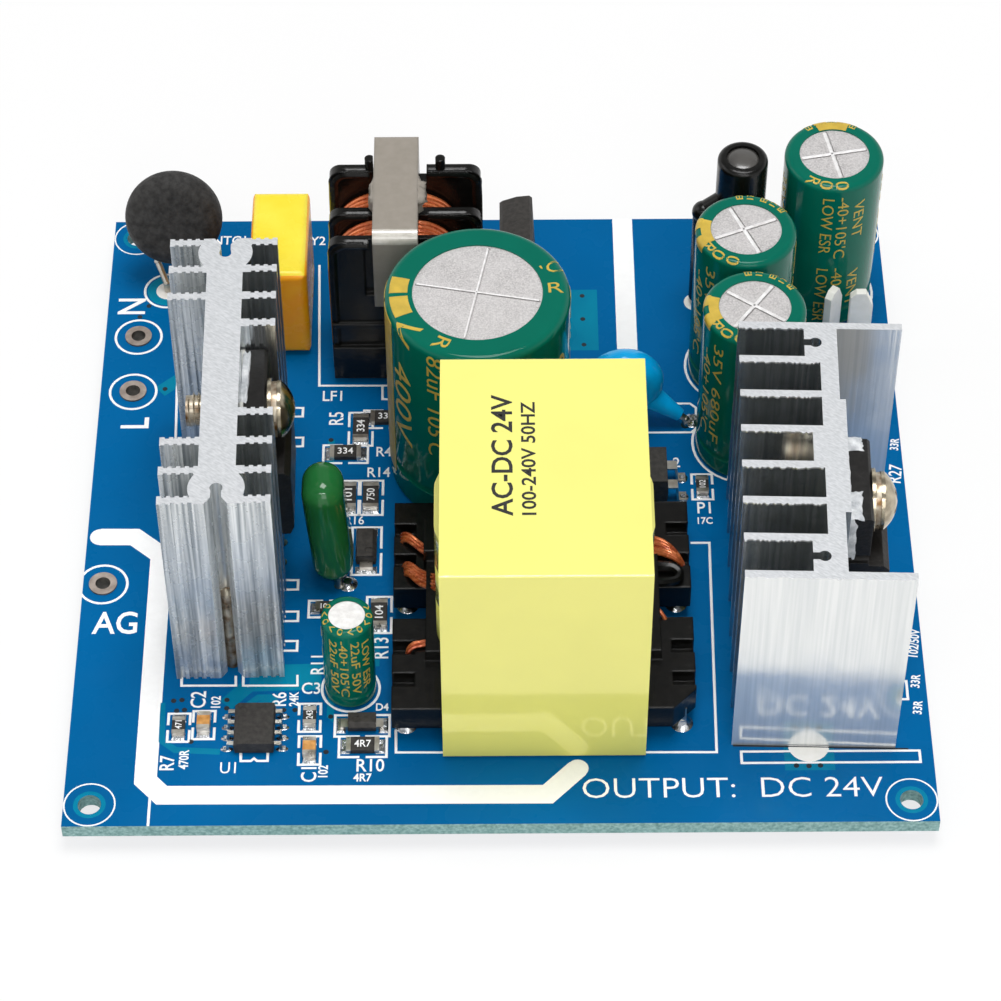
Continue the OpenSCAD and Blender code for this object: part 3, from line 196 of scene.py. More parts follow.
# text, x, y, turn, height, length and stroke weight of the words by the output and of the stamp on the tape
OUTPUT_WORDS = ("OUTPUT:  DC 24V", 22.1, -35.95, 0, 2.3, 28.6, -0.008)
STAMP = (
    ("AC-DC 24V", 0.3, -17.8, 90, 2.0, 14.8, 0.015), ("100-240V 50HZ", 2.75, -18.2, 90, 1.35, 13.8, 0.015),
)

# bearing and width of the stripes on the bulk capacitor, their length and their middle's run down the sleeve
STRIPES = ((173.0, 2.4), (193.5, 3.0))
STRIPE_LENGTH = 24.4
STRIPE_RUN = 10.1

# bearing, run down the sleeve, text, height and length of the print on the bulk capacitor
BULK_PRINT = (
    (215, 7.0, "V  400V", 2.7, 17.6), (243, 6.4, "R 82uF 105'C", 1.9, 17),
    (24, 5.2, "'C -40+105'C", 1.7, 14.4), (4, 5.2, "R LOW ESR", 1.7, 14.4), (300, 9.4, "400V", 2.6, 10),
    (330, 9.4, "82uF", 2.6, 10), (70, 9.4, "400V", 2.6, 10), (105, 9.4, "82uF", 2.6, 10),
)

# bearing of the minus mark on each output capacitor, from the front, and of the marks round its rim
MINUS_TURNS = (184, 184, 90)
RIM_TURNS = (184, 184, 210)

# from the minus mark: bearing, width, reach down and run of its blocks, then bearing, run, text and length
MINUS_BLOCKS = ((0, 3.9, 1.0, -0.86), (-15, 1.5, 1.3, 0.2), (15, 1.5, 1.3, 0.2))
OUTPUT_PRINT = (
    (171, 5.4, "LOW ESR", 7.9), (189, 5.6, "-40+105'C", 8.8), (209, 4.8, "VENT", 5.2),
    (171, 15.6, "LOW ESR", 7.9), (189, 15.9, "-40+105'C", 8.8), (209, 14.9, "VENT", 5.2),
    (100, 8.0, "35V 680uF", 12.0), (265, 8.0, "35V 680uF", 12.0), (40, 9.0, "35V 680uF", 14.0),
    (22, 9.6, "-40+105'C", 12.0),
)

# height, length, stroke weight and run of the marks round the output rims, then each one's bearing and text
RIM_PRINT = (
    (0.8, 0.9, 0.01, -0.3, ((212, "E1"), (226, "17"), (240, "E1"), (258, "17"), (272, "E1"))),
    (1.5, 1.0, 0.0, -0.35, ((28, "R"), (46, "0"), (66, "0"))),
)

# bearing, text and length on the start-up capacitor
STARTUP_PRINT = (
    (238, "22uF 50V", 8.0), (262, "-40+105'C", 8.6), (288, "22uF 50V", 8.0), (314, "LOW ESR", 7.0),
    (180, "-  -  -", 7.0), (20, "22uF", 4.5), (80, "50V", 4.5),
)

# bearing of the vent score and width of its crease, on the bulk can and, from the front, the output cans
VENTS = ((-11, 0.2), (-36, 0.36), (23, 0.36), (11, 0.36))

# tops of the choke's flanges from the front, their pitch and rims, and the radius of its core's front edge
FLANGE_TOPS = (19.88, 19.88, 22.05)
FLANGE_PITCH = 3.95
FLANGE_RIM = 1.22
CORE_ROUND = 1.1

# y and z of a corner of the glue at the core's joint, its two sides, and its swell to the left and right
GLUE = ((22.7, 23.8), (0, -3.4, 0), (0, 0, -2.0))
GLUE_SWELL = (-3.0, 5.0)

# middle of the secondary heatsink's front plate at its sawn top, its turn, and the pitch of the comb's fins
PLATE = (30.75, -31.2, 25.7)
PLATE_TURN = -1.75
FIN_PITCH = 4.4

# left end of the burrs from the plate's middle, their length on the plate and on the seven fins behind it,
# and half the length of the painted shadow line under the plate
BURR_START = -8.5
BURRS = (15.0, *[7.5] * 7)
SHADOW_HALF = 8.4

# corner, two sides and outward direction of each smear of thermal paste
PASTE = (
    ((32.3, -11.3, 22.3), (0.1, -1.7, 0), (2.1, 0, 0), (0, 0, 1)),
    ((32.2, -12.6, 22.3), (-0.1, -5.6, 0), (0.9, 0, 0), (0, 0, 1)),
    ((32.0, -18.0, 22.3), (-0.1, -3.5, 0), (2.0, 0, 0), (0, 0, 1)),
    ((31.9, -21.45, 22.2), (0.1, 0, -5.6), (1.5, 0, 0), (0, -1, 0)),
    ((-24.6, -0.9, 23.3), (-0.1, -6.4, 0), (0.8, 0, 0), (0, 0, 1)),
)

# nodes whose finish isn't the plain one of their slot
OWN_FINISH = {
    "secondary_heatsink": "plate_aluminium", "heatsink_pins": "stained_pin", "wire_eyelets": "dull_tin",
    "switch_transistor": "transistor_black", "output_rectifier": "transistor_black",
    "output_blades": "blade_tin", "startup_can": "bright_can", "spring_washers": "stained_pin",
}

# length of a screw's stained tail, and where the channels with painted shade begin: in x from the middle of
# the primary heatsink or the left of the secondary one, in y from the front
SCREW_TAIL = 4.2
PRIMARY_CHANNEL = (1, 1)
SECONDARY_CHANNEL = (10.5, 0.7)


def linear(code):
    """Linear colour of an sRGB hex value."""
    parts = [int(code[i:i + 2], 16) / 255 for i in (1, 3, 5)]
    return (*(c / 12.92 if c <= 0.04045 else ((c + 0.055) / 1.055) ** 2.4 for c in parts), 1.0)


def at(x, y, z=0.0):
    """Point in metres from millimetres over the middle of the board's top."""
    return Vector((x * MM, y * MM, TOP + z * MM))


def spot(x, y, turn, z=0.0):
    """Place over the board, turned about the vertical."""
    return Matrix.Translation(at(x, y, z)) @ Matrix.Rotation(radians(turn), 4, "Z")


def add(tree, kind, links=None, **settings):
    """One shader node with its settings, its inputs set or linked to a socket or a node's first output."""
    node = tree.nodes.new("ShaderNode" + kind)
    for key, value in settings.items():
        setattr(node, key, value)
    for socket, source in (links or {}).items():
        if isinstance(source, bpy.types.Node):
            source = source.outputs[0]
        if isinstance(source, bpy.types.NodeSocket):
            tree.links.new(source, node.inputs[socket])
        else:
            node.inputs[socket].default_value = source
    return node


def begin(name):
    """New empty material: its tree and its Object coordinates."""
    material = bpy.data.materials.new(name)
    material.use_nodes = True
    tree = material.node_tree
    tree.nodes.clear()
    return material, tree, add(tree, "TexCoord").outputs["Object"]


def finish(material, tree, **inputs):
    """Closes a material with its surface shader."""
    shader = add(tree, "BsdfPrincipled", {k.replace("_", " "): v for k, v in inputs.items()})
    add(tree, "OutputMaterial", {"Surface": shader})
    return material


def speckle(tree, where, size, low, high, detail=3.0, stretch=(1, 1, 1)):
    """Noise with grains of a size in millimetres, mapped to a range."""
    place = add(tree, "Mapping", {"Vector": where, "Scale": stretch})
    noise = add(tree, "TexNoise", {"Vector": place, "Scale": 1 / (size * MM), "Detail": detail})
    return add(tree, "MapRange", {"Value": noise, "From Min": 0.32, "From Max": 0.68,
                                  "To Min": low, "To Max": high})


def mottle(tree, where, size, dark, light, detail=3.0, stretch=(1, 1, 1)):
    """Colour that drifts between two tones in patches of a size in millimetres."""
    share = speckle(tree, where, size, 0.0, 1.0, detail, stretch)
    return add(tree, "Mix", {0: share, 6: dark, 7: light}, data_type="RGBA").outputs[2]


def upward(tree):
    """1 on faces that look up or down, 0 on the sides."""
    normal = add(tree, "NewGeometry").outputs["True Normal"]
    z = add(tree, "SeparateXYZ", {0: normal}).outputs[2]
    size = add(tree, "Math", {0: z}, operation="ABSOLUTE")
    return add(tree, "Math", {0: size, 1: 0.7}, operation="GREATER_THAN")


def by_face(tree, sides, tops):
    """One colour on the sides and another on faces that look up or down."""
    return add(tree, "Mix", {0: upward(tree), 6: sides, 7: tops}, data_type="RGBA").outputs[2]


def even(name, dark, light, grain, rough, relief=0.01, edge=0.0, shine=0.5, **shader):
    """Even finish: a fine grain in colour, gloss and relief, and edges rounded by a size in millimetres."""
    material, tree, where = begin(name)
    dark, light = (linear(c) if isinstance(c, str) else (*c, 1.0) for c in (dark, light))
    bump = {"Height": speckle(tree, where, grain, 0, 1), "Distance": relief * MM}
    if edge:
        bump["Normal"] = add(tree, "Bevel", {"Radius": edge * MM}, samples=4)
    return finish(material, tree, Base_Color=mottle(tree, where, grain * 2, dark, light),
                  Roughness=speckle(tree, where, grain * 3, rough * 0.85, rough * 1.15),
                  Specular_IOR_Level=shine, Normal=add(tree, "Bump", bump), **shader)


def solder_mask(looks):
    """Solder mask on glass-fibre laminate: a smooth blue skin and a pale sawn edge with dark fibre specks."""
    material, tree, where = begin("solder_mask_on_laminate")
    blue = Vector(looks.mask_colour)
    skin = mottle(tree, where, 22, (*(blue * 0.9), 1), (*(blue * 1.1), 1), 2)
    edge = mottle(tree, where, 0.35, linear("#6a918f"), linear("#9fc2c0"), 5)
    lift = add(tree, "Bump", {"Height": speckle(tree, where, 1.2, 0, 1), "Distance": 0.004 * MM})
    return finish(material, tree, Base_Color=by_face(tree, edge, skin),
                  Roughness=speckle(tree, where, 4, 0.22, 0.34), Specular_IOR_Level=0.06, Normal=lift)


def extrusion(name, rough, dark, light, mirror):
    """Extruded aluminium: upright die lines on the sides, and pale slanting saw scratches on the cut ends."""
    material, tree, where = begin(name)
    turned = add(tree, "Mapping", {"Vector": where, "Rotation": (0, 0, 0.6)})
    die = speckle(tree, where, 0.34, 0, 1, 1.5, (1, 1, 0.02))
    saw = speckle(tree, turned, 0.16, 0, 1, 5, (0.3, 1, 1))
    cut = upward(tree)
    lines = add(tree, "Mix", {0: cut, 2: die, 3: saw})
    side = add(tree, "Mix", {0: die, 6: linear(dark), 7: linear(light)}, data_type="RGBA")
    end = add(tree, "Mix", {0: saw, 6: linear("#b9bcbf"), 7: linear("#d3d5d8")}, data_type="RGBA")
    colour = add(tree, "Mix", {0: cut, 6: side.outputs[2], 7: end.outputs[2]}, data_type="RGBA")
    worn = speckle(tree, where, 2.5, rough * 0.8, rough * 1.25)
    gloss = add(tree, "Mix", {0: cut, 2: worn, 3: 0.5})
    # scuffs and oxide scatter part of the light, most of it on the sawn ends
    metal = add(tree, "Mix", {0: cut, 2: mirror, 3: 0.2})
    lift = add(tree, "Bump", {"Height": lines, "Distance": 0.01 * MM, "Strength": 0.5})
    return finish(material, tree, Base_Color=colour.outputs[2], Metallic=metal, Roughness=gloss, Normal=lift)


def pressed_can():
    """Etched aluminium of a capacitor can: a matte pale top with sparkling grains."""
    material, tree, where = begin("etched_can_aluminium")
    grain = speckle(tree, where, 0.16, 0, 1, 2)
    patch = mottle(tree, where, 2.5, linear("#a5a2a2"), linear("#bab7b7"))
    colour = add(tree, "Mix", {0: grain, 6: patch, 7: linear("#d2cfce")}, data_type="RGBA")
    lift = add(tree, "Bump", {"Height": grain, "Distance": 0.02 * MM, "Strength": 0.8})
    return finish(material, tree, Base_Color=colour.outputs[2], Metallic=0.2, Roughness=0.5, Normal=lift)


def moulded_box_painted_shade():
    """Moulded polyester box: clear yellow on top, and deep orange on the sides as painted shade."""
    material, tree, where = begin("moulded_polyester_box_painted_shade")
    top = mottle(tree, where, 3, linear("#f7e038"), linear("#fbe94a"), 2)
    # painted shade: the sides take a deep orange in place of the box's yellow
    side = mottle(tree, where, 3, linear("#ffa512"), linear("#ffb41c"), 2)
    return finish(material, tree, Base_Color=by_face(tree, side, top),
                  Roughness=speckle(tree, where, 2, 0.22, 0.3), Specular_IOR_Level=0.4,
                  Normal=add(tree, "Bevel", {"Radius": 0.3 * MM}, samples=4))


def wound_copper():
    """Enamelled copper wire: orange metal under clear varnish, darker and brighter turns side by side."""
    material, tree, where = begin("enamelled_copper_wire")
    colour = mottle(tree, where, 0.45, linear("#a8431a"), linear("#f08a52"), 3, (0.25, 1, 0.25))
    return finish(material, tree, Base_Color=colour, Metallic=0.5,
                  Roughness=speckle(tree, where, 0.6, 0.16, 0.34), Coat_Weight=0.5, Coat_Roughness=0.12)


def polyester_tape_painted_shade(looks):
    """Polyester film tape: pale yellow with painted shade on the sides, a sharp gloss and faint ripples."""
    material, tree, where = begin("polyester_film_tape_painted_shade")
    tape = Vector(looks.tape_colour)
    # painted shade: the sides take a deeper, darker yellow than the top
    deep = tape * Vector((0.97, 0.96, 0.76))
    top, side = (mottle(tree, where, 9, (*(tone * 0.96), 1), (*tone, 1), 2) for tone in (tape, deep))
    ripple = speckle(tree, where, 6, 0, 1, 1, (1, 1, 0.4))
    return finish(material, tree, Base_Color=by_face(tree, side, top), Roughness=0.09, IOR=1.64,
                  Coat_Weight=0.5, Coat_Roughness=0.06,
                  Normal=add(tree, "Bump", {"Height": ripple, "Distance": 0.03 * MM}))


def stained_pin():
    """Pressed heatsink pin: tinned steel with brown flux stains."""
    material, tree, where = begin("flux_stained_pin")
    colour = mottle(tree, where, 1.1, linear("#6b4a22"), linear("#cfc6b4"))
    return finish(material, tree, Base_Color=colour, Metallic=0.8,
                  Roughness=speckle(tree, where, 0.6, 0.25, 0.55))


def finishes(looks):
    """One finish for each kind of surface, by its slot in the record or its own name."""
    sleeve, ink, gold = (Vector(c) for c in (looks.sleeve_colour, looks.ink_colour, looks.print_colour))
    return {
        "board_laminate": solder_mask(looks),
        # grey-white metal with a soft sheen
        "tinned_copper": even("tinned_copper_wire", "#a39b8e", "#d8d4cc", 0.8, 0.3, Metallic=1.0),
        # bright, rippled as it froze
        "solder": even("reflowed_solder", "#8f9296", "#dcdee0", 0.5, 0.22, 0.03, Metallic=1.0),
        "extruded_aluminium": extrusion("scuffed_ribbed_aluminium", 0.26, "#9aa1a5", "#f8faf9", 0.55),
        "plate_aluminium": extrusion("scuffed_plate_aluminium", 0.165, "#e2e5e5", "#f2f3f2", 0.62),
        # inside its channels the metal mirrors more and so takes up what is dark round it: painted shade, set
        # by place
        "channel_painted_shade": extrusion("mirroring_channel_painted_shade", 0.2, "#b4babd", "#dfe2e2", 0.92),
        "can_aluminium": pressed_can(),
        # deep green film with a sharp highlight on each rounded rim
        "sleeve_green": even("printed_shrink_sleeve", sleeve * 0.9, sleeve, 2.5, 0.09, 0.006, shine=0.16),
        # dull dark grey
        "capacitor_rubber": even("moulded_rubber", "#161616", "#262626", 0.6, 0.7),
        # warm grey, ground smooth, soft shine on rounded edges
        "ferrite": even("ground_ferrite", "#8f887d", "#978f85", 0.5, 0.34, 0.004, 0.6, 0.8),
        # black with bright narrow glints on its rims
        "bobbin_black": even("moulded_phenolic", "#0b0b0a", "#151412", 0.5, 0.2, 0.01, 0.25, 0.3),
        "copper_enamelled": wound_copper(),
        "tape_yellow": polyester_tape_painted_shade(looks),
        "box_yellow": moulded_box_painted_shade(),
        # dusty matte black
        "disc_black": even("dipped_phenolic", "#1d1c1b", "#383736", 0.35, 0.62, 0.03, shine=0.3),
        # dark glassy green
        "film_green": even("dipped_green_epoxy", "#1f6430", "#26703a", 2.5, 0.1, shine=0.4),
        # clear strong blue with a soft glint
        "ceramic_blue": even("dipped_blue_epoxy", "#049ee0", "#0ab0f0", 1.5, 0.16, shine=0.35),
        # fine matte black
        "epoxy_black": even("moulded_epoxy", "#2b2927", "#3b3835", 0.25, 0.5, 0.012, 0.12, 0.3),
        # near black, soft sheen
        "shrink_black": even("heat_shrink_sleeve", "#090908", "#151513", 0.8, 0.24, shine=0.3),
        # dull white sheet
        "thermal_pad": even("silicone_pad", "#bdbdb8", "#dadad4", 0.4, 0.7),
        # warm bright metal
        "plated_steel": even("nickel_plated_steel", "#8d8270", "#cabfa8", 0.7, 0.2, 0.006, 0.15,
                             Metallic=1.0),
        # tan, slightly glossy
        "chip_ceramic": even("sintered_chip_ceramic", "#b97a2e", "#dca258", 0.3, 0.4, 0.006),
        "stained_pin": stained_pin(),
        # deep black, finely moulded
        "transistor_black": even("moulded_transistor_epoxy", "#0e0d0c", "#1a1817", 0.3, 0.4, 0.012, 0.15,
                                 0.3),
        # taupe ring, dulled by handling
        "dull_tin": even("dull_tinned_ring", "#988b82", "#beb2a8", 0.6, 0.42, Metallic=0.6),
        # pale and bright, hardly mirroring
        "blade_tin": even("tinned_brass_blade", "#f0eee6", "#fdfbf6", 0.8, 0.35, edge=0.1, Metallic=0.06),
        # white crease where the score was pressed in
        # crease beside the score, white as a painted highlight of the score's lit edge
        "crease": even("can_crease_painted_highlight", "#d9d7d6", "#f7f6f6", 0.4, 0.4, 0.02, Metallic=0.1),
        # small can with a brighter, finer etch
        "bright_can": even("bright_can_aluminium", "#e6e4e3", "#fbfaf9", 0.3, 0.4, 0.02, Metallic=0.08),
        # dark grey varnished end of the rod
        "rod_end": even("varnished_ferrite_end", "#3a3937", "#504e4b", 1.2, 0.26, shine=0.8),
        # edge ground round and polished, which catches the lamps; paler than the ferrite as a painted
        # highlight
        "ground_edge_painted_highlight": even("ground_ferrite_edge_painted_highlight", "#b9b3a8", "#cdc8be", 0.5, 0.2, 0.004, shine=1.0,
                            Coat_Weight=1.0),
        # flat white, a little uneven
        "ink": even("screened_white_ink", ink * 0.97, ink, 0.3, 0.6, 0.006, shine=0.1),
        # lighter teal where copper lies under the mask
        "copper_under_mask": even("mask_over_copper", "#02749a", "#0685a6", 4.0, 0.28, 0.004, shine=0.08),
        # flat gold print
        "gold_print": even("gold_sleeve_print", gold * 0.8, gold, 0.5, 0.4, 0.006),
        # black, soaked a little into the tape
        "stamp": even("stamped_black_ink", "#0d0d0b", "#201f1b", 0.3, 0.5),
        # black of the vias and of the gap under the plate: painted shade
        "painted_shade_black": even("hole_and_gap_painted_shade", "#04121c", "#0a1d2a", 0.4, 0.7),
        # dark grey on the sides of a soldered eyelet: painted shade of its hole
        "painted_hole_shade": even("soldered_hole_painted_shade", "#4a4742", "#6e6962", 0.4, 0.5, Metallic=0.3),
        # grey-white grease, lumpy
        "paste": even("thermal_paste", "#a9adb2", "#e6e8ea", 0.5, 0.5, 0.06),
    }


def coat_of(key):
    """Finish made by the first step."""
    return bpy.data.materials[bpy.context.scene["finish_" + key]]


def recoat(node, material, chosen):
    """Second finish on chosen faces of a CAD node."""
    mesh = NODES[node].data
    mesh.materials.append(material)
    for face in mesh.polygons:
        if chosen(face):
            face.material_index = 1


def mesh_of(name, bm):
    """Mesh of a bmesh, which is then dropped."""
    mesh = bpy.data.meshes.new(name)
    bm.to_mesh(mesh)
    bm.free()
    return mesh


def put(name, data):
    """New object in the scene."""
    thing = bpy.data.objects.new(name, data)
    bpy.context.scene.collection.objects.link(thing)
    return thing


def piece(name, bm, key, smooth=False):
    """Turns a bmesh into a part of the supply that rides its body."""
    bmesh.ops.remove_doubles(bm, verts=bm.verts[:], dist=1e-8)
    bmesh.ops.recalc_face_normals(bm, faces=bm.faces[:])
    mesh = mesh_of(name, bm)
    mesh.materials.append(coat_of(key))
    if smooth:
        mesh.shade_smooth()
        mesh.set_sharp_from_angle(angle=radians(40))
    else:
        mesh.shade_flat()
    part = put(name, mesh)
    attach(part, "root")
    return part


def only(geom, kind):
    """The vertices or the edges in what an operator gives back."""
    return [part for part in geom if isinstance(part, kind)]


def once(parts):
    """Each part once, in the order they come in, which a set would not keep."""
    return list(dict.fromkeys(parts))


def faces_on(verts):
    """Faces that use some of the vertices."""
    return once(f for v in verts for f in v.link_faces)


def extruded(bm, verts):
    """Extrudes the faces on some vertices where they are, and gives the new vertices."""
    made = bmesh.ops.extrude_face_region(bm, geom=faces_on(verts))["geom"]
    return only(made, bmesh.types.BMVert)


def cut_off(bm, geom, place, normal):
    """Cuts away what lies beyond a plane and closes the cut."""
    cut = bmesh.ops.bisect_plane(bm, geom=geom, plane_co=place, plane_no=normal, clear_outer=True)["geom_cut"]
    bmesh.ops.holes_fill(bm, edges=only(cut, bmesh.types.BMEdge))


def absorb(bm, mesh, place):
    """Adds a mesh to a piece through a transform."""
    mesh.transform(place)
    bm.from_mesh(mesh)
    bpy.data.meshes.remove(mesh)


def solidified(curve):
    """Mesh of a curve, which is then dropped."""
    holder = bpy.data.objects.new(curve.name, curve)
    mesh = bpy.data.meshes.new_from_object(holder)
    bpy.data.objects.remove(holder)
    bpy.data.curves.remove(curve)
    return mesh


def round_curve(width, resolution):
    """Empty curve with a round section of a width in millimetres."""
    curve = bpy.data.curves.new("run", "CURVE")
    curve.dimensions = "3D"
    curve.bevel_depth = width / 2 * MM
    curve.bevel_resolution = resolution
    curve.use_fill_caps = True
    return curve


def strokes(bm, runs, width, height, level=TOP):
    """Flat lines at a level along runs of points. A run that ends at its start is closed."""
    curve = round_curve(width, 1)
    for run in runs:
        closed = run[0] == run[-1]
        points = [Vector(p) for p in (run[:-1] if closed else run)]
        spline = curve.splines.new("POLY")
        spline.points.add(len(points) - 1)
        spline.use_cyclic_u = closed
        for i, p in enumerate(points):
            spline.points[i].co = (p.x * MM, p.y * MM, 0, 1)
            if closed or 0 < i < len(points) - 1:
                before, after = points[i - 1], points[(i + 1) % len(points)]
                mitre = ((p - before).normalized() + (after - p).normalized()).length
                spline.points[i].radius = min(2.0, 2 / max(mitre, 1e-3))
    flat = Matrix.Diagonal((1, 1, 2 * height / width, 1))
    absorb(bm, solidified(curve), Matrix.Translation((0, 0, level)) @ flat)


def tubes(bm, runs, diameter):
    """Round wires along smooth runs of points over the board."""
    curve = round_curve(diameter, 2)
    curve.resolution_u = 6
    for run in runs:
        spline = curve.splines.new("BEZIER")
        spline.bezier_points.add(len(run) - 1)
        for point, p in zip(spline.bezier_points, run):
            point.co = at(*p)
            point.handle_left_type = point.handle_right_type = "AUTO"
    absorb(bm, solidified(curve), Matrix.Identity(4))


def ring(x, y, r, count=40):
    """Points of a closed circle."""
    turns = [2 * pi * i / count for i in range(count)]
    points = [(x + r * cos(a), y + r * sin(a)) for a in turns]
    return points + points[:1]


def discs(bm, places, r, height):
    """Low round pads with a rounded rim."""
    for x, y in places:
        made = bmesh.ops.create_circle(bm, cap_ends=True, segments=24, radius=r * MM)["verts"]
        top = extruded(bm, made)
        bmesh.ops.translate(bm, verts=made, vec=at(x, y, -SUNK))
        bmesh.ops.translate(bm, verts=top, vec=at(x, y, height))
        bmesh.ops.scale(bm, verts=top, vec=(0.9, 0.9, 1), space=Matrix.Translation(-at(x, y)))


def heap(bm, place, half_x, half_y, height):
    """Solder drawn up round a lead: a wide foot that narrows in a hollow curve."""
    made = bmesh.ops.create_cone(bm, cap_ends=True, segments=20, radius1=1.0, radius2=0.42,
                                 depth=1.0)["verts"]
    geom = made + once(e for v in made for e in v.link_edges) + faces_on(made)
    cut = bmesh.ops.bisect_plane(bm, geom=geom, plane_co=(0, 0, -0.15), plane_no=(0, 0, 1))
    waist = only(cut["geom_cut"], bmesh.types.BMVert)
    bmesh.ops.scale(bm, verts=waist, vec=(0.74, 0.74, 1))
    bmesh.ops.scale(bm, verts=made + waist, vec=(half_x, half_y, height))
    bmesh.ops.translate(bm, verts=made + waist, vec=(place[0], place[1], TOP + height * 0.48))


def lettering(text, height, length=None, weight=0.0):
    """Mesh of a line of print with a height in millimetres, centred on its own middle."""
    curve = bpy.data.curves.new("print", "FONT")
    curve.body = text
    curve.resolution_u = 3
    curve.offset = weight
    curve.extrude = 0.5
    mesh = solidified(curve)
    low, high = (Vector([pick(v.co[i] for v in mesh.vertices) for i in range(3)]) for pick in (min, max))
    tall = height * MM / (high.y - low.y)
    wide = length * MM / (high.x - low.x) if length else tall * 0.84
    mesh.transform(Matrix.Diagonal((wide, tall, INK * MM, 1)) @ Matrix.Translation(-(low + high) / 2))
    return mesh


def print_on(bm, text, x, y, turn, height, length=None, weight=0.0, z=0.0):
    """Printed line lying flat at a place over the board."""
    absorb(bm, lettering(text, height, length, weight), spot(x, y, turn, z))


def copied(node):
    """Merged copy of a CAD node's mesh."""
    bm = bmesh.new()
    bm.from_mesh(NODES[node].data)
    bmesh.ops.remove_doubles(bm, verts=bm.verts[:], dist=1e-7)
    return bm


def solids(node):
    """Low and high corners of each separate solid of a CAD node."""
    bm = copied(node)
    boxes, seen = [], set()
    for start in bm.verts:
        if start in seen:
            continue
        group, stack = [], [start]
        seen.add(start)
        while stack:
            v = stack.pop()
            group.append(v.co.copy())
            near = [e.other_vert(v) for e in v.link_edges if e.other_vert(v) not in seen]
            seen.update(near)
            stack.extend(near)
        boxes.append(tuple(Vector([pick(p[i] for p in group) for i in range(3)]) for pick in (min, max)))
    bm.free()
    return boxes


def output_solids(node):
    """Solids of the three output capacitors, from the front."""
    return sorted(solids(node), key=lambda box: box[0].y)


def over_sleeve(box, angle, run, lift):
    """Point on a can's sleeve, a run in metres down from the middle of its rounded rim, or inward on top."""
    low, high = box
    middle, radius = (low + high) / 2, (high.x - low.x) / 2
    rim = radius * 0.04 + 0.45 * MM
    half = rim * pi / 4
    if run > half:
        out, z, nr, nz = radius, high.z - rim - (run - half), 1.0, 0.0
    elif run < -half:
        out, z, nr, nz = radius - rim + run + half, high.z, 0.0, 1.0
    else:
        a = (run + half) / rim
        nr, nz = sin(a), cos(a)
        out, z = radius - rim + rim * nr, high.z - rim + rim * nz
    out += nr * lift
    return Vector((middle.x + out * cos(angle), middle.y + out * sin(angle), z + nz * lift))


def wrap(bm, mesh, box, degrees, run):
    """Lays a flat print on a sleeve: its own x runs down the can from a run, at a bearing."""
    radius = (box[1].x - box[0].x) / 2
    # cuts every 0.3 mm across let the print bend with the sleeve, just clear of it
    step, clear = 0.3 * MM, 0.012 * MM
    flat = bmesh.new()
    flat.from_mesh(mesh)
    for i in range(-9, 10):
        geom = flat.verts[:] + flat.edges[:] + flat.faces[:]
        bmesh.ops.bisect_plane(flat, geom=geom, plane_co=(0, step * i, 0), plane_no=(0, 1, 0))
    flat.to_mesh(mesh)
    flat.free()
    for v in mesh.vertices:
        v.co = over_sleeve(box, radians(degrees) + v.co.y / radius, run * MM + v.co.x, v.co.z + clear)
    bm.from_mesh(mesh)
    bpy.data.meshes.remove(mesh)


def print_block(wide, down):
    """Mesh of a plain printed block, across the can and down it in millimetres."""
    bm = bmesh.new()
    made = bmesh.ops.create_grid(bm, x_segments=28, y_segments=8, size=0.5 * MM)["verts"]
    bmesh.ops.translate(bm, verts=extruded(bm, made), vec=(0, 0, INK * MM))
    bmesh.ops.scale(bm, verts=bm.verts[:], vec=(down, wide, 1))
    return mesh_of("block", bm)


def smear(bm, corner, along, across, out, seed):
    """Lumpy patch over the rectangle of a corner and two sides, thin and ragged at its rim."""
    rng = random.Random(seed)
    made = bmesh.ops.create_grid(bm, x_segments=9, y_segments=7, size=0.5)["verts"]
    top = extruded(bm, made)
    corner, along, across, out = (Vector(v) for v in (corner, along, across, out))
    lift = {}
    for v in made + top:
        u, w = v.co.x + 0.5, v.co.y + 0.5
        key = (round(u, 3), round(w, 3))
        inner = min(u, 1 - u, w, 1 - w) > 0.02
        if key not in lift:
            lift[key] = (rng.uniform(-0.045, 0.045), rng.uniform(-0.06, 0.06),
                         rng.uniform(0.04, 0.2) if inner else 0.01)
        du, dw, h = lift[key]
        v.co = at(*(corner + along * (u + du) + across * (w + dw) + out * (h if v in top else -0.06)))


def colour_of(name, description, code):
    """Colour that a user can change."""
    return bpy.props.FloatVectorProperty(name=name, description=description, default=linear(code)[:3], size=3,
                                         subtype="COLOR")


def length_of(name, description, size, low, high):
    """Length that a user can change, given in millimetres."""
    return bpy.props.FloatProperty(name=name, description=description, default=size * MM, min=low * MM,
                                   max=high * MM, unit="LENGTH", precision=5)


class SupplyLooks(bpy.types.PropertyGroup):
    """Sizes and colours a user would change."""

    mask_colour: colour_of("Solder mask", "Colour of the board's mask", "#00619c")
    ink_colour: colour_of("Board ink", "Colour of the board's print", "#ffffff")
    sleeve_colour: colour_of("Sleeves", "Colour of the capacitor sleeves", "#046a57")
    print_colour: colour_of("Sleeve print", "Colour of the print on the sleeves", "#d3b343")
    tape_colour: colour_of("Tape", "Colour of the transformer's tape", "#f6f285")
    ink_line: length_of("Ink line", "Width of the board's printed outlines", 0.26, 0.1, 0.5)
    band_width: length_of("Isolation band", "Width of the white isolation bands", 2.15, 1, 3)
    strand: length_of("Winding wire", "Diameter of the transformer's copper wires", 0.42, 0.2, 0.8)
    light_power: bpy.props.FloatProperty(
        name="Key light", description="Power of the soft light above the board", default=2.0, min=0.0,
        unit="POWER")
    floor_tone: colour_of("Floor", "Colour of the studio floor", "#f4f4f4")


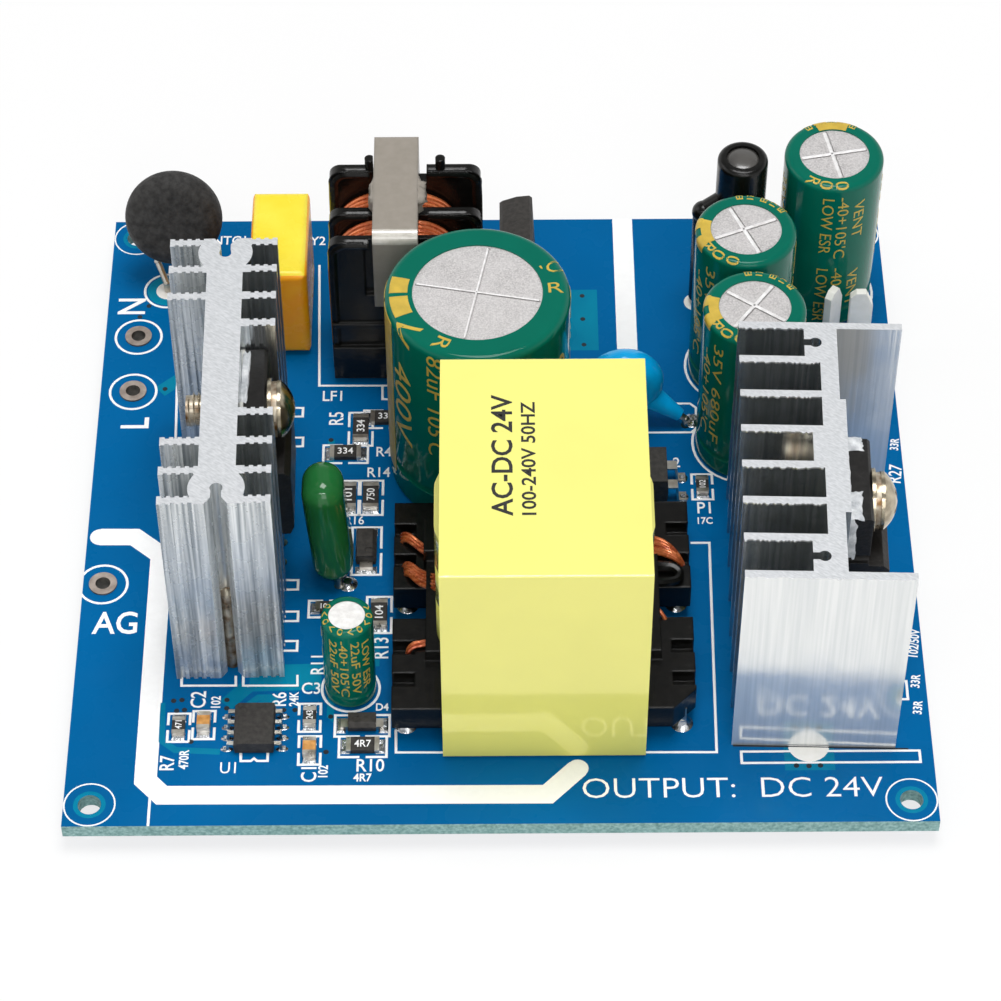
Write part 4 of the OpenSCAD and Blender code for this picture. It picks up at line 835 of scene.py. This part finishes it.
class SUPPLY_OT_finishes(bpy.types.Operator):
    """Give every CAD node the finish of its real material"""

    bl_idname = "supply.finishes"
    bl_label = "Finishes"

    def execute(self, context):
        kinds = finishes(context.scene.supply_looks)
        for key, material in kinds.items():
            context.scene["finish_" + key] = material.name
        for part in frame["record"]["subparts"]:
            mesh = NODES[part["node"]].data
            mesh.materials.clear()
            mesh.materials.append(kinds[OWN_FINISH.get(part["node"], part["material_slot"])])
        tails = sorted(low.x + SCREW_TAIL * MM for low, high in solids("fixing_screws"))
        recoat("fixing_screws", kinds["stained_pin"],
               lambda f: f.center.x < tails[0] or 0 < f.center.x < tails[1])
        # the eyelets' sides take a dark finish: painted shade in their holes
        recoat("wire_eyelets", kinds["painted_hole_shade"], lambda f: abs(f.normal.z) < 0.5)
        # faces in the channels take the more mirroring aluminium: painted shade set by place
        low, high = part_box("primary_heatsink")
        web, front = (low.x + high.x) / 2 + PRIMARY_CHANNEL[0] * MM, low.y + PRIMARY_CHANNEL[1] * MM
        recoat("primary_heatsink", kinds["channel_painted_shade"],
               lambda f: f.center.x > web and f.center.y > front)
        low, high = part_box("secondary_heatsink")
        spine, plate = low.x + SECONDARY_CHANNEL[0] * MM, low.y + SECONDARY_CHANNEL[1] * MM
        recoat("secondary_heatsink", kinds["channel_painted_shade"],
               lambda f: f.center.x < spine and f.center.y > plate)
        return {"FINISHED"}


class SUPPLY_OT_copper(bpy.types.Operator):
    """Lay the copper fields under the mask, the tinned pads and the vias"""

    bl_idname = "supply.copper"
    bl_label = "Copper and pads"

    def execute(self, context):
        bm = bmesh.new()
        for width, runs in COPPER_RUNS.items():
            strokes(bm, runs, width, COPPER)
        inner, outer = HOLE_RING
        strokes(bm, [ring(x, y, (inner + outer) / 2) for x, y in MOUNTS], outer - inner, 0.01)
        discs(bm, [DISC_PAD], PAD_COPPER, COPPER)
        piece("copper_fields", bm, "copper_under_mask")

        bm = bmesh.new()
        wider, beyond, rise = CHIP_SOLDER
        for x, y, turn, (length, width, _), _ in CHIPS:
            for side in (-1, 1):
                made = bmesh.ops.create_grid(bm, x_segments=1, y_segments=1, size=0.5 * MM)["verts"]
                top = extruded(bm, made)
                bmesh.ops.translate(bm, verts=made, vec=(0, 0, -SUNK * MM))
                bmesh.ops.translate(bm, verts=top, vec=(0, 0, rise * MM))
                bmesh.ops.scale(bm, verts=top, vec=(0.55, 0.8, 1))
                bmesh.ops.scale(bm, verts=made + top, vec=(1.0, width + wider, 1))
                shift = Matrix.Translation((side * (length / 2 + beyond) * MM, 0, 0))
                bmesh.ops.transform(bm, verts=made + top, matrix=spot(x, y, turn) @ shift)
        inward, half_x, past, rise = (size * MM for size in FOOT_SOLDER)
        for node in ("controller_leads", "optocoupler_leads"):
            boxes = solids(node)
            middle = sum(((low + high) / 2 for low, high in boxes), Vector()) / len(boxes)
            for low, high in boxes:
                side = 1 if (low.x + high.x) / 2 > middle.x else -1
                foot = (high.x if side > 0 else low.x) - side * inward
                heap(bm, (foot, (low.y + high.y) / 2), half_x, (high.y - low.y) / 2 + past, rise)
        half, rise = (size * MM for size in PIN_SOLDER)
        for low, high in solids("transformer_pins"):
            heap(bm, ((low.x + high.x) / 2, (low.y + high.y) / 2), half, half, rise)
        half, rise = (size * MM for size in LEAD_SOLDER)
        for x, y in LEADS:
            heap(bm, (x * MM, y * MM), half, half, rise)
        piece("tinned_pads", bm, "solder", True)

        bm = bmesh.new()
        for r, height, places in BARE_PADS:
            discs(bm, places, r, height)
        piece("bare_pads", bm, "blade_tin")

        bm = bmesh.new()
        # the vias are flat dark discs: painted shade of their holes
        discs(bm, VIAS, VIA, INK)
        piece("vias", bm, "painted_shade_black")
        return {"FINISHED"}


class SUPPLY_OT_ink(bpy.types.Operator):
    """Print the white bands, rings and outlines on the board"""

    bl_idname = "supply.ink"
    bl_label = "Board ink"

    def execute(self, context):
        looks = context.scene.supply_looks
        line, band = looks.ink_line / MM, looks.band_width / MM
        bm = bmesh.new()
        strokes(bm, BANDS, band, INK)
        discs(bm, (BANDS[0][0], BANDS[0][-1]), band / 2, INK)
        strokes(bm, [ring(x, y, SILK_RING) for x, y in MOUNTS], line * 0.6, INK)
        runs = [ring(x, y, SILK_RING) for x, y in WIRE_PADS] + OUTLINES
        for low, high in solids("output_sleeves") + solids("startup_sleeve"):
            middle, r = (low + high) / 2 / MM, (high.x - low.x) / 2 / MM
            runs.append(ring(middle.x, middle.y, r + RING_GAP))
        ends, sides, inner = CHIP_GAPS
        for x, y, turn, (length, width, _), _ in CHIPS:
            a, b = length / 2 + ends, width / 2 + sides
            place = Matrix.Translation((x, y, 0)) @ Matrix.Rotation(radians(turn), 4, "Z")
            for side in (-1, 1):
                outline = [(side * inner, -b), (side * a, -b), (side * a, b), (side * inner, b)]
                runs.append([tuple((place @ Vector((*p, 0)))[:2]) for p in outline])
        arm, end, half = BRACKET
        for x, y in BRACKETS:
            runs.append([(x - arm, y + half), (x + end, y + half), (x + end, y - half), (x - arm, y - half)])
        strokes(bm, runs, line, INK)
        # ink ends at the board's edges
        for axis in (0, 1):
            for corner, sign in ((BOARD_LOW, -1), (BOARD_HIGH, 1)):
                normal, place = Vector(), Vector()
                normal[axis], place[axis] = sign, corner[axis]
                cut_off(bm, bm.verts[:] + bm.edges[:] + bm.faces[:], place, normal)
        piece("board_ink", bm, "ink")
        return {"FINISHED"}


class SUPPLY_OT_words(bpy.types.Operator):
    """Print the references and terminal letters on the board, and the stamp on the tape"""

    bl_idname = "supply.words"
    bl_label = "Board lettering"

    def execute(self, context):
        bm = bmesh.new()
        for weight, words in BOARD_WORDS.items():
            for text, x, y, turn, height in words:
                print_on(bm, text, x, y, turn, height, weight=weight)
        print_on(bm, *OUTPUT_WORDS)
        for x, y, turn, (length, width, height), mark in CHIPS:
            if mark:
                print_on(bm, mark, x, y, turn, width * 0.52, length * 0.5, 0.01, height)
        piece("board_lettering", bm, "ink")

        bm = bmesh.new()
        tape = (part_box("transformer_tape")[1].z - TOP) / MM
        for line in STAMP:
            print_on(bm, *line, tape)
        piece("tape_stamp", bm, "stamp")
        return {"FINISHED"}


class SUPPLY_OT_print(bpy.types.Operator):
    """Print the gold ratings and polarity stripes on the capacitor sleeves"""

    bl_idname = "supply.print"
    bl_label = "Sleeve print"

    def execute(self, context):
        bm = bmesh.new()
        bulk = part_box("bulk_sleeve")
        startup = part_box("startup_sleeve")
        outputs = output_solids("output_sleeves")
        for degrees, wide in STRIPES:
            wrap(bm, print_block(wide, STRIPE_LENGTH), bulk, degrees, STRIPE_RUN)
        for degrees, run, text, height, length in BULK_PRINT:
            wrap(bm, lettering(text, height, length, -0.004), bulk, degrees, run)
        for box, minus in zip(outputs, MINUS_TURNS):
            for turn, wide, down, run in MINUS_BLOCKS:
                wrap(bm, print_block(wide, down), box, minus + turn, run)
            for turn, run, text, length in OUTPUT_PRINT:
                wrap(bm, lettering(text, 1.2, length, -0.006), box, minus + turn, run)
        for box, rim in zip(outputs, RIM_TURNS):
            for height, length, weight, run, marks in RIM_PRINT:
                for turn, text in marks:
                    wrap(bm, lettering(text, height, length, weight), box, rim + turn, run)
        for degrees, text, length in STARTUP_PRINT:
            wrap(bm, lettering(text, 0.85, length), startup, degrees, 5.2)
        # two marks take turns round the small rim
        for i in range(10):
            wrap(bm, lettering("0V"[i % 2], 0.6, 0.7), startup, 150 + 26 * i, -0.25)
        piece("sleeve_print", bm, "gold_print")
        return {"FINISHED"}


class SUPPLY_OT_winding(bpy.types.Operator):
    """Press the taped winding flat at the core's open sides and trim the flange above it"""

    bl_idname = "supply.winding"
    bl_label = "Transformer winding"

    def execute(self, context):
        low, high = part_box("transformer_tape")
        bulge, inset = 0.6 * MM, 0.1 * MM
        bm = copied("transformer_winding")
        for v in bm.verts:
            v.co.x = min(max(v.co.x, low.x - bulge), high.x + bulge)
        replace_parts(piece("taped_winding", bm, "tape_yellow", True), "transformer_winding")

        bm = copied("transformer_bobbin")
        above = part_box("transformer_winding")[1].z - inset
        for side, sign in ((low.x + inset, -1), (high.x - inset, 1)):
            faces = [f for f in bm.faces if all(v.co.z > above for v in f.verts)]
            geom = once(part for f in faces for part in (f, *f.verts, *f.edges))
            cut_off(bm, geom, (side, 0, 0), (sign, 0, 0))
        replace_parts(piece("bobbin_and_rails", bm, "bobbin_black"), "transformer_bobbin")
        return {"FINISHED"}


class SUPPLY_OT_creases(bpy.types.Operator):
    """Raise a strip beside each vent score, white as a painted highlight of its lit edge"""

    bl_idname = "supply.creases"
    bl_label = "Vent creases"

    def execute(self, context):
        bm = bmesh.new()
        share, gap, height = 0.68, 0.02, 0.06
        cans = solids("bulk_can") + output_solids("output_cans")
        for (low, high), (turn, wide) in zip(cans, VENTS):
            middle, reach = (low + high) / 2 / MM, (high.x - low.x) / 2 / MM * share
            for bearing in (radians(turn), radians(turn + 90)):
                along = Vector((cos(bearing), sin(bearing)))
                start = middle.xy + along.orthogonal() * (wide / 2 + gap)
                run = [tuple(start - along * reach), tuple(start + along * reach)]
                strokes(bm, [run], wide, height, high.z)
        # the strips are white: a painted highlight beside each score
        piece("vent_creases_painted_highlight", bm, "crease")
        return {"FINISHED"}


class SUPPLY_OT_wires(bpy.types.Operator):
    """Lead the winding wires from the rail slots into the transformer"""

    bl_idname = "supply.wires"
    bl_label = "Winding wires"

    def execute(self, context):
        d = context.scene.supply_looks.strand / MM
        runs = []
        for i in range(3):
            runs.append([(-9.8 + 0.1 * i, -8.5 - d * i, 3.6), (-9.4, -8.45 - d * i, 4.9),
                         (-7.6, -10.0 - d * i, 5.1), (-6.3, -11.2 - d * i, 5.3)])
        for i in range(5):
            runs.append([(-9.6 + 0.12 * i, -12.2 - 0.3 * i, 3.5), (-9.1, -12.15 - 0.34 * i, 4.8),
                         (-7.6, -13.6 - d * i, 5.3 + 0.05 * (i % 2)), (-5.6, -15.2 - d * i, 6.4)])
        for i in range(2):
            runs.append([(-9.0, -23.2, 3.4), (-8.6, -22.75 + d * i, 4.7), (-7.4, -22.45 + d * i, 4.95),
                         (-5.4, -22.6 + d * i, 5.4)])
        for i in range(6):
            runs.append([(18.4, -12.6, 3.4), (17.9, -12.35 + 0.12 * i, 4.7), (16.4, -11.9 + d * i * 0.8, 5.5),
                         (14.4, -12.0 + d * i, 6.2)])
        runs.append([(16.4, -19.4, 3.6), (15.9, -18.9, 4.9), (14.4, -17.9, 6.0)])
        bm = bmesh.new()
        tubes(bm, runs, d)
        part = piece("winding_wires", bm, "copper_enamelled", True)
        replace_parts(part, "transformer_wires")

        bm = bmesh.new()
        tubes(bm, [[(14.2, -13.6, 5.8), (16.0, -13.1, 5.4), (17.5, -13.5, 5.2), (17.6, -14.4, 5.1),
                    (16.6, -15.0, 5.2), (14.2, -15.2, 5.6)]], 0.95)
        piece("sleeved_wire", bm, "shrink_black", True)
        return {"FINISHED"}


class SUPPLY_OT_threads(bpy.types.Operator):
    """Cut the thread on the screw tails"""

    bl_idname = "supply.threads"
    bl_label = "Screw threads"

    def execute(self, context):
        bm = bmesh.new()
        pitch, turns, steps = 0.5 * MM, 4, 16
        tooth, shank, start = 0.26 * MM, 1.46 * MM, 0.3 * MM
        for low, high in solids("fixing_screws"):
            middle = (low + high) / 2
            made = bmesh.ops.create_circle(bm, cap_ends=True, segments=3, radius=tooth)["verts"]
            bmesh.ops.rotate(bm, verts=made, matrix=Matrix.Rotation(radians(90), 3, "X"))
            bmesh.ops.translate(bm, verts=made, vec=(low.x + start, middle.y, middle.z + shank))
            bmesh.ops.spin(bm, geom=faces_on(made), cent=(low.x, middle.y, middle.z), axis=(1, 0, 0),
                           dvec=(pitch / steps, 0, 0), angle=2 * pi * turns, steps=steps * turns)
        piece("screw_threads", bm, "plated_steel")
        return {"FINISHED"}


class SUPPLY_OT_rims(bpy.types.Operator):
    """Round the rims of the choke's bobbin and core, glue the core's joint and dome the end of the rod"""

    bl_idname = "supply.rims"
    bl_label = "Rounded rims"

    def execute(self, context):
        low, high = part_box("choke_bobbin")
        core_low, core_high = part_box("choke_core")
        # a rim's middle line: in from the bobbin's side, before the windings, and its ends beside the core
        inset, before, left_end, right_end = 0.5, 0.75, 0.5, 0.9
        lines = ((low.x / MM + inset, core_low.x / MM - left_end, 1),
                 (high.x / MM - inset, core_high.x / MM + right_end, -1))
        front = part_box("choke_windings")[0].y / MM - before
        bm = bmesh.new()
        for i, top in enumerate(FLANGE_TOPS):
            y = front + FLANGE_PITCH * i
            for side, stop, inward in lines:
                run = [(side, y, 1.5), (side, y, 6.0), (side, y, top - 2.0),
                       (side + inward * 0.1, y, top - 0.8), (side + inward * 0.8, y, top - 0.1),
                       (side + inward * 2.0, y, top), (stop, y, top)]
                tubes(bm, [run], FLANGE_RIM)
        piece("choke_rims", bm, "bobbin_black", True)

        # the solid's small arc is drawn back to a sharp corner, which then takes the larger radius
        bm = copied("choke_core")
        y, z, arc = core_low.y, core_high.z, 0.31 * MM
        for v in bm.verts:
            if v.co.y < y + arc and v.co.z > z - arc:
                v.co.y, v.co.z = y, z
        bmesh.ops.remove_doubles(bm, verts=bm.verts[:], dist=1e-6)
        bmesh.ops.dissolve_limit(bm, angle_limit=radians(1), verts=bm.verts[:], edges=bm.edges[:])
        corner = [e for e in bm.edges if all(v.co.y < y + arc and v.co.z > z - arc for v in e.verts)]
        rounded = bmesh.ops.bevel(bm, geom=corner, offset=CORE_ROUND * MM, offset_type="OFFSET", segments=8,
                                  profile=0.5, affect="EDGES")["faces"]
        # the rounded faces take the paler polished finish: a painted highlight
        for face in rounded:
            face.material_index = 1
        part = piece("rounded_choke_core", bm, "ferrite")
        part.data.materials.append(coat_of("ground_edge_painted_highlight"))
        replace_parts(part, "choke_core")

        bm = bmesh.new()
        corner, along, across = GLUE
        for x, swell, seed in ((core_low.x, GLUE_SWELL[0], 6), (core_high.x, GLUE_SWELL[1], 7)):
            smear(bm, (x / MM, *corner), along, across, (swell, 0, 0), seed)
        piece("core_joint_glue", bm, "ferrite", True)

        low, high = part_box("rod_choke")
        radius = (high.y - low.y) / 2
        wall, flatness, sunk = 0.92 * MM, 0.22, 0.35 * MM
        bm = bmesh.new()
        made = bmesh.ops.create_uvsphere(bm, u_segments=24, v_segments=12, radius=radius - wall)["verts"]
        bmesh.ops.scale(bm, verts=made, vec=(1, 1, flatness))
        bmesh.ops.translate(bm, verts=made, vec=(high.x - radius, (low.y + high.y) / 2, high.z - sunk))
        piece("rod_end_dome", bm, "rod_end", True)
        return {"FINISHED"}


class SUPPLY_OT_marks(bpy.types.Operator):
    """Leave the saw's burrs on the secondary heatsink and paste beside the transistors"""

    bl_idname = "supply.marks"
    bl_label = "Burrs and paste"

    def execute(self, context):
        rng = random.Random(4)
        bm = bmesh.new()
        x, y, z = PLATE
        turn = spot(x, y, PLATE_TURN, z)
        for i, reach in enumerate(BURRS):
            made = bmesh.ops.create_grid(bm, x_segments=46, y_segments=1, size=0.5)["verts"]
            top = extruded(bm, made)
            # in some places a burr hangs over the edge, elsewhere it hardly shows
            lips = {}
            for v in made + top:
                key = round(v.co.x, 4)
                if key not in lips:
                    lips[key] = rng.uniform(0.06, 0.24) if rng.random() < 0.6 else 0.03
                lip = 0.1 if v.co.y > 0 else -lips[key]
                rise = 0.03 if v in top else -0.16
                place = Vector((BURR_START + (v.co.x + 0.5) * reach, i * FIN_PITCH + lip, rise))
                v.co = turn @ (place * MM)
        piece("saw_burrs", bm, "plate_aluminium")

        # a dark line along the plate's foot: painted shadow
        bm = bmesh.new()
        ends = [turn @ (Vector((x, -0.1, 0)) * MM) / MM for x in (-SHADOW_HALF, SHADOW_HALF)]
        strokes(bm, [[tuple(p.xy) for p in ends]], 0.2, 0.06)
        piece("plate_foot_painted_shadow", bm, "painted_shade_black")

        bm = bmesh.new()
        for seed, patch in enumerate(PASTE, 1):
            smear(bm, *patch, seed)
        piece("thermal_paste", bm, "paste", True)
        return {"FINISHED"}


class SUPPLY_OT_stage(bpy.types.Operator):
    """Set the floor, the light and the camera"""

    bl_idname = "supply.stage"
    bl_label = "Stage"

    def execute(self, context):
        looks = context.scene.supply_looks
        scene = context.scene
        scene.view_settings.view_transform = "Standard"
        world = bpy.data.worlds.new("studio")
        scene.world = world
        world.use_nodes = True
        tree = world.node_tree
        tree.nodes.clear()
        path = add(tree, "LightPath").outputs
        seen = add(tree, "Math", {0: path["Is Camera Ray"], 1: path["Is Glossy Ray"]}, operation="MAXIMUM")
        seen = add(tree, "Math", {0: seen, 1: path["Is Transmission Ray"]}, operation="MAXIMUM")
        # white round the horizon, as the backdrop is, and a dim ceiling over the lamps
        way = add(tree, "TexCoord").outputs["Generated"]
        rise = add(tree, "SeparateXYZ", {0: way}).outputs[2]
        ceiling = add(tree, "MapRange", {"Value": rise, "From Min": 0.35, "From Max": 0.7,
                                         "To Min": 1.0, "To Max": 0.3})
        fill = 0.36
        power = add(tree, "Mix", {0: seen, 2: fill, 3: ceiling})
        sky = add(tree, "Background", {"Color": linear("#ffffff"), "Strength": power})
        add(tree, "OutputWorld", {"Surface": sky})

        bm = bmesh.new()
        bmesh.ops.create_grid(bm, x_segments=1, y_segments=1, size=2.0)
        floor = put("studio_floor", mesh_of("studio_floor", bm))
        material, tree, _ = begin("studio_paper")
        # paper that glows a little to the eye and in reflections, so that it stays white
        path = add(tree, "LightPath").outputs
        matte = add(tree, "BsdfDiffuse", {"Color": (*looks.floor_tone, 1.0)})
        glow = add(tree, "Emission", {"Color": linear("#ffffff"), "Strength": 1.0})
        share = add(tree, "Math", {0: path["Is Camera Ray"], 1: path["Is Glossy Ray"]}, operation="MAXIMUM")
        share = add(tree, "Math", {0: share, 1: 0.75}, operation="MULTIPLY")
        mix = add(tree, "MixShader", {0: share, 1: matte.outputs[0], 2: glow.outputs[0]})
        add(tree, "OutputMaterial", {"Surface": mix})
        floor.data.materials.append(material)

        aim = Vector((0, 0, 0.01))
        for name, place, size, deep, share in LAMPS:
            light = bpy.data.lights.new(name, "AREA")
            light.energy = looks.light_power * share
            light.shape = "RECTANGLE"
            light.size = size
            light.size_y = deep
            lamp = put(name, light)
            lamp.location = place
            lamp.rotation_euler = (aim - Vector(place)).to_track_quat("-Z", "Y").to_euler()

        e, a, r = (radians(CAMERA[k]) for k in ("elevation", "azimuth", "roll"))
        ahead = Vector((sin(a) * cos(e), cos(a) * cos(e), -sin(e)))
        right = Vector((cos(a), -sin(a), 0))
        up = right.cross(ahead)
        right, up = right * cos(r) + up * sin(r), up * cos(r) - right * sin(r)
        turn = Matrix((right, up, -ahead)).transposed().to_4x4()
        data = bpy.data.cameras.new("camera")
        data.sensor_width = 36.0
        data.lens = CAMERA["focal_pixels"] * data.sensor_width / CAMERA["frame_pixels"]
        data.clip_start = 0.01
        camera = put("camera", data)
        place = Vector((*CAMERA["target"], TOP)) - ahead * CAMERA["distance"]
        camera.matrix_world = Matrix.Translation(place) @ turn
        scene.camera = camera
        return {"FINISHED"}


class SUPPLY_PT_panel(bpy.types.Panel):
    """Steps and sizes of the supply's looks"""

    bl_idname = "SUPPLY_PT_panel"
    bl_label = "Power Supply"
    bl_space_type = "VIEW_3D"
    bl_region_type = "UI"
    bl_category = "Power Supply"

    def draw(self, context):
        for name in SupplyLooks.__annotations__:
            self.layout.prop(context.scene.supply_looks, name)
        for step in STEPS:
            self.layout.operator(step.bl_idname)


STEPS = (SUPPLY_OT_finishes, SUPPLY_OT_copper, SUPPLY_OT_ink, SUPPLY_OT_words, SUPPLY_OT_print,
         SUPPLY_OT_creases, SUPPLY_OT_winding, SUPPLY_OT_wires, SUPPLY_OT_threads, SUPPLY_OT_rims,
         SUPPLY_OT_marks, SUPPLY_OT_stage)
CLASSES = (SupplyLooks, *STEPS, SUPPLY_PT_panel)


def register():
    for cls in CLASSES:
        bpy.utils.register_class(cls)
    bpy.types.Scene.supply_looks = bpy.props.PointerProperty(type=SupplyLooks)


def unregister():
    del bpy.types.Scene.supply_looks
    for cls in reversed(CLASSES):
        bpy.utils.unregister_class(cls)


def main():
    register()
    for step in STEPS:
        group, name = step.bl_idname.split(".")
        getattr(getattr(bpy.ops, group), name)()


if __name__ == "__main__":
    main()
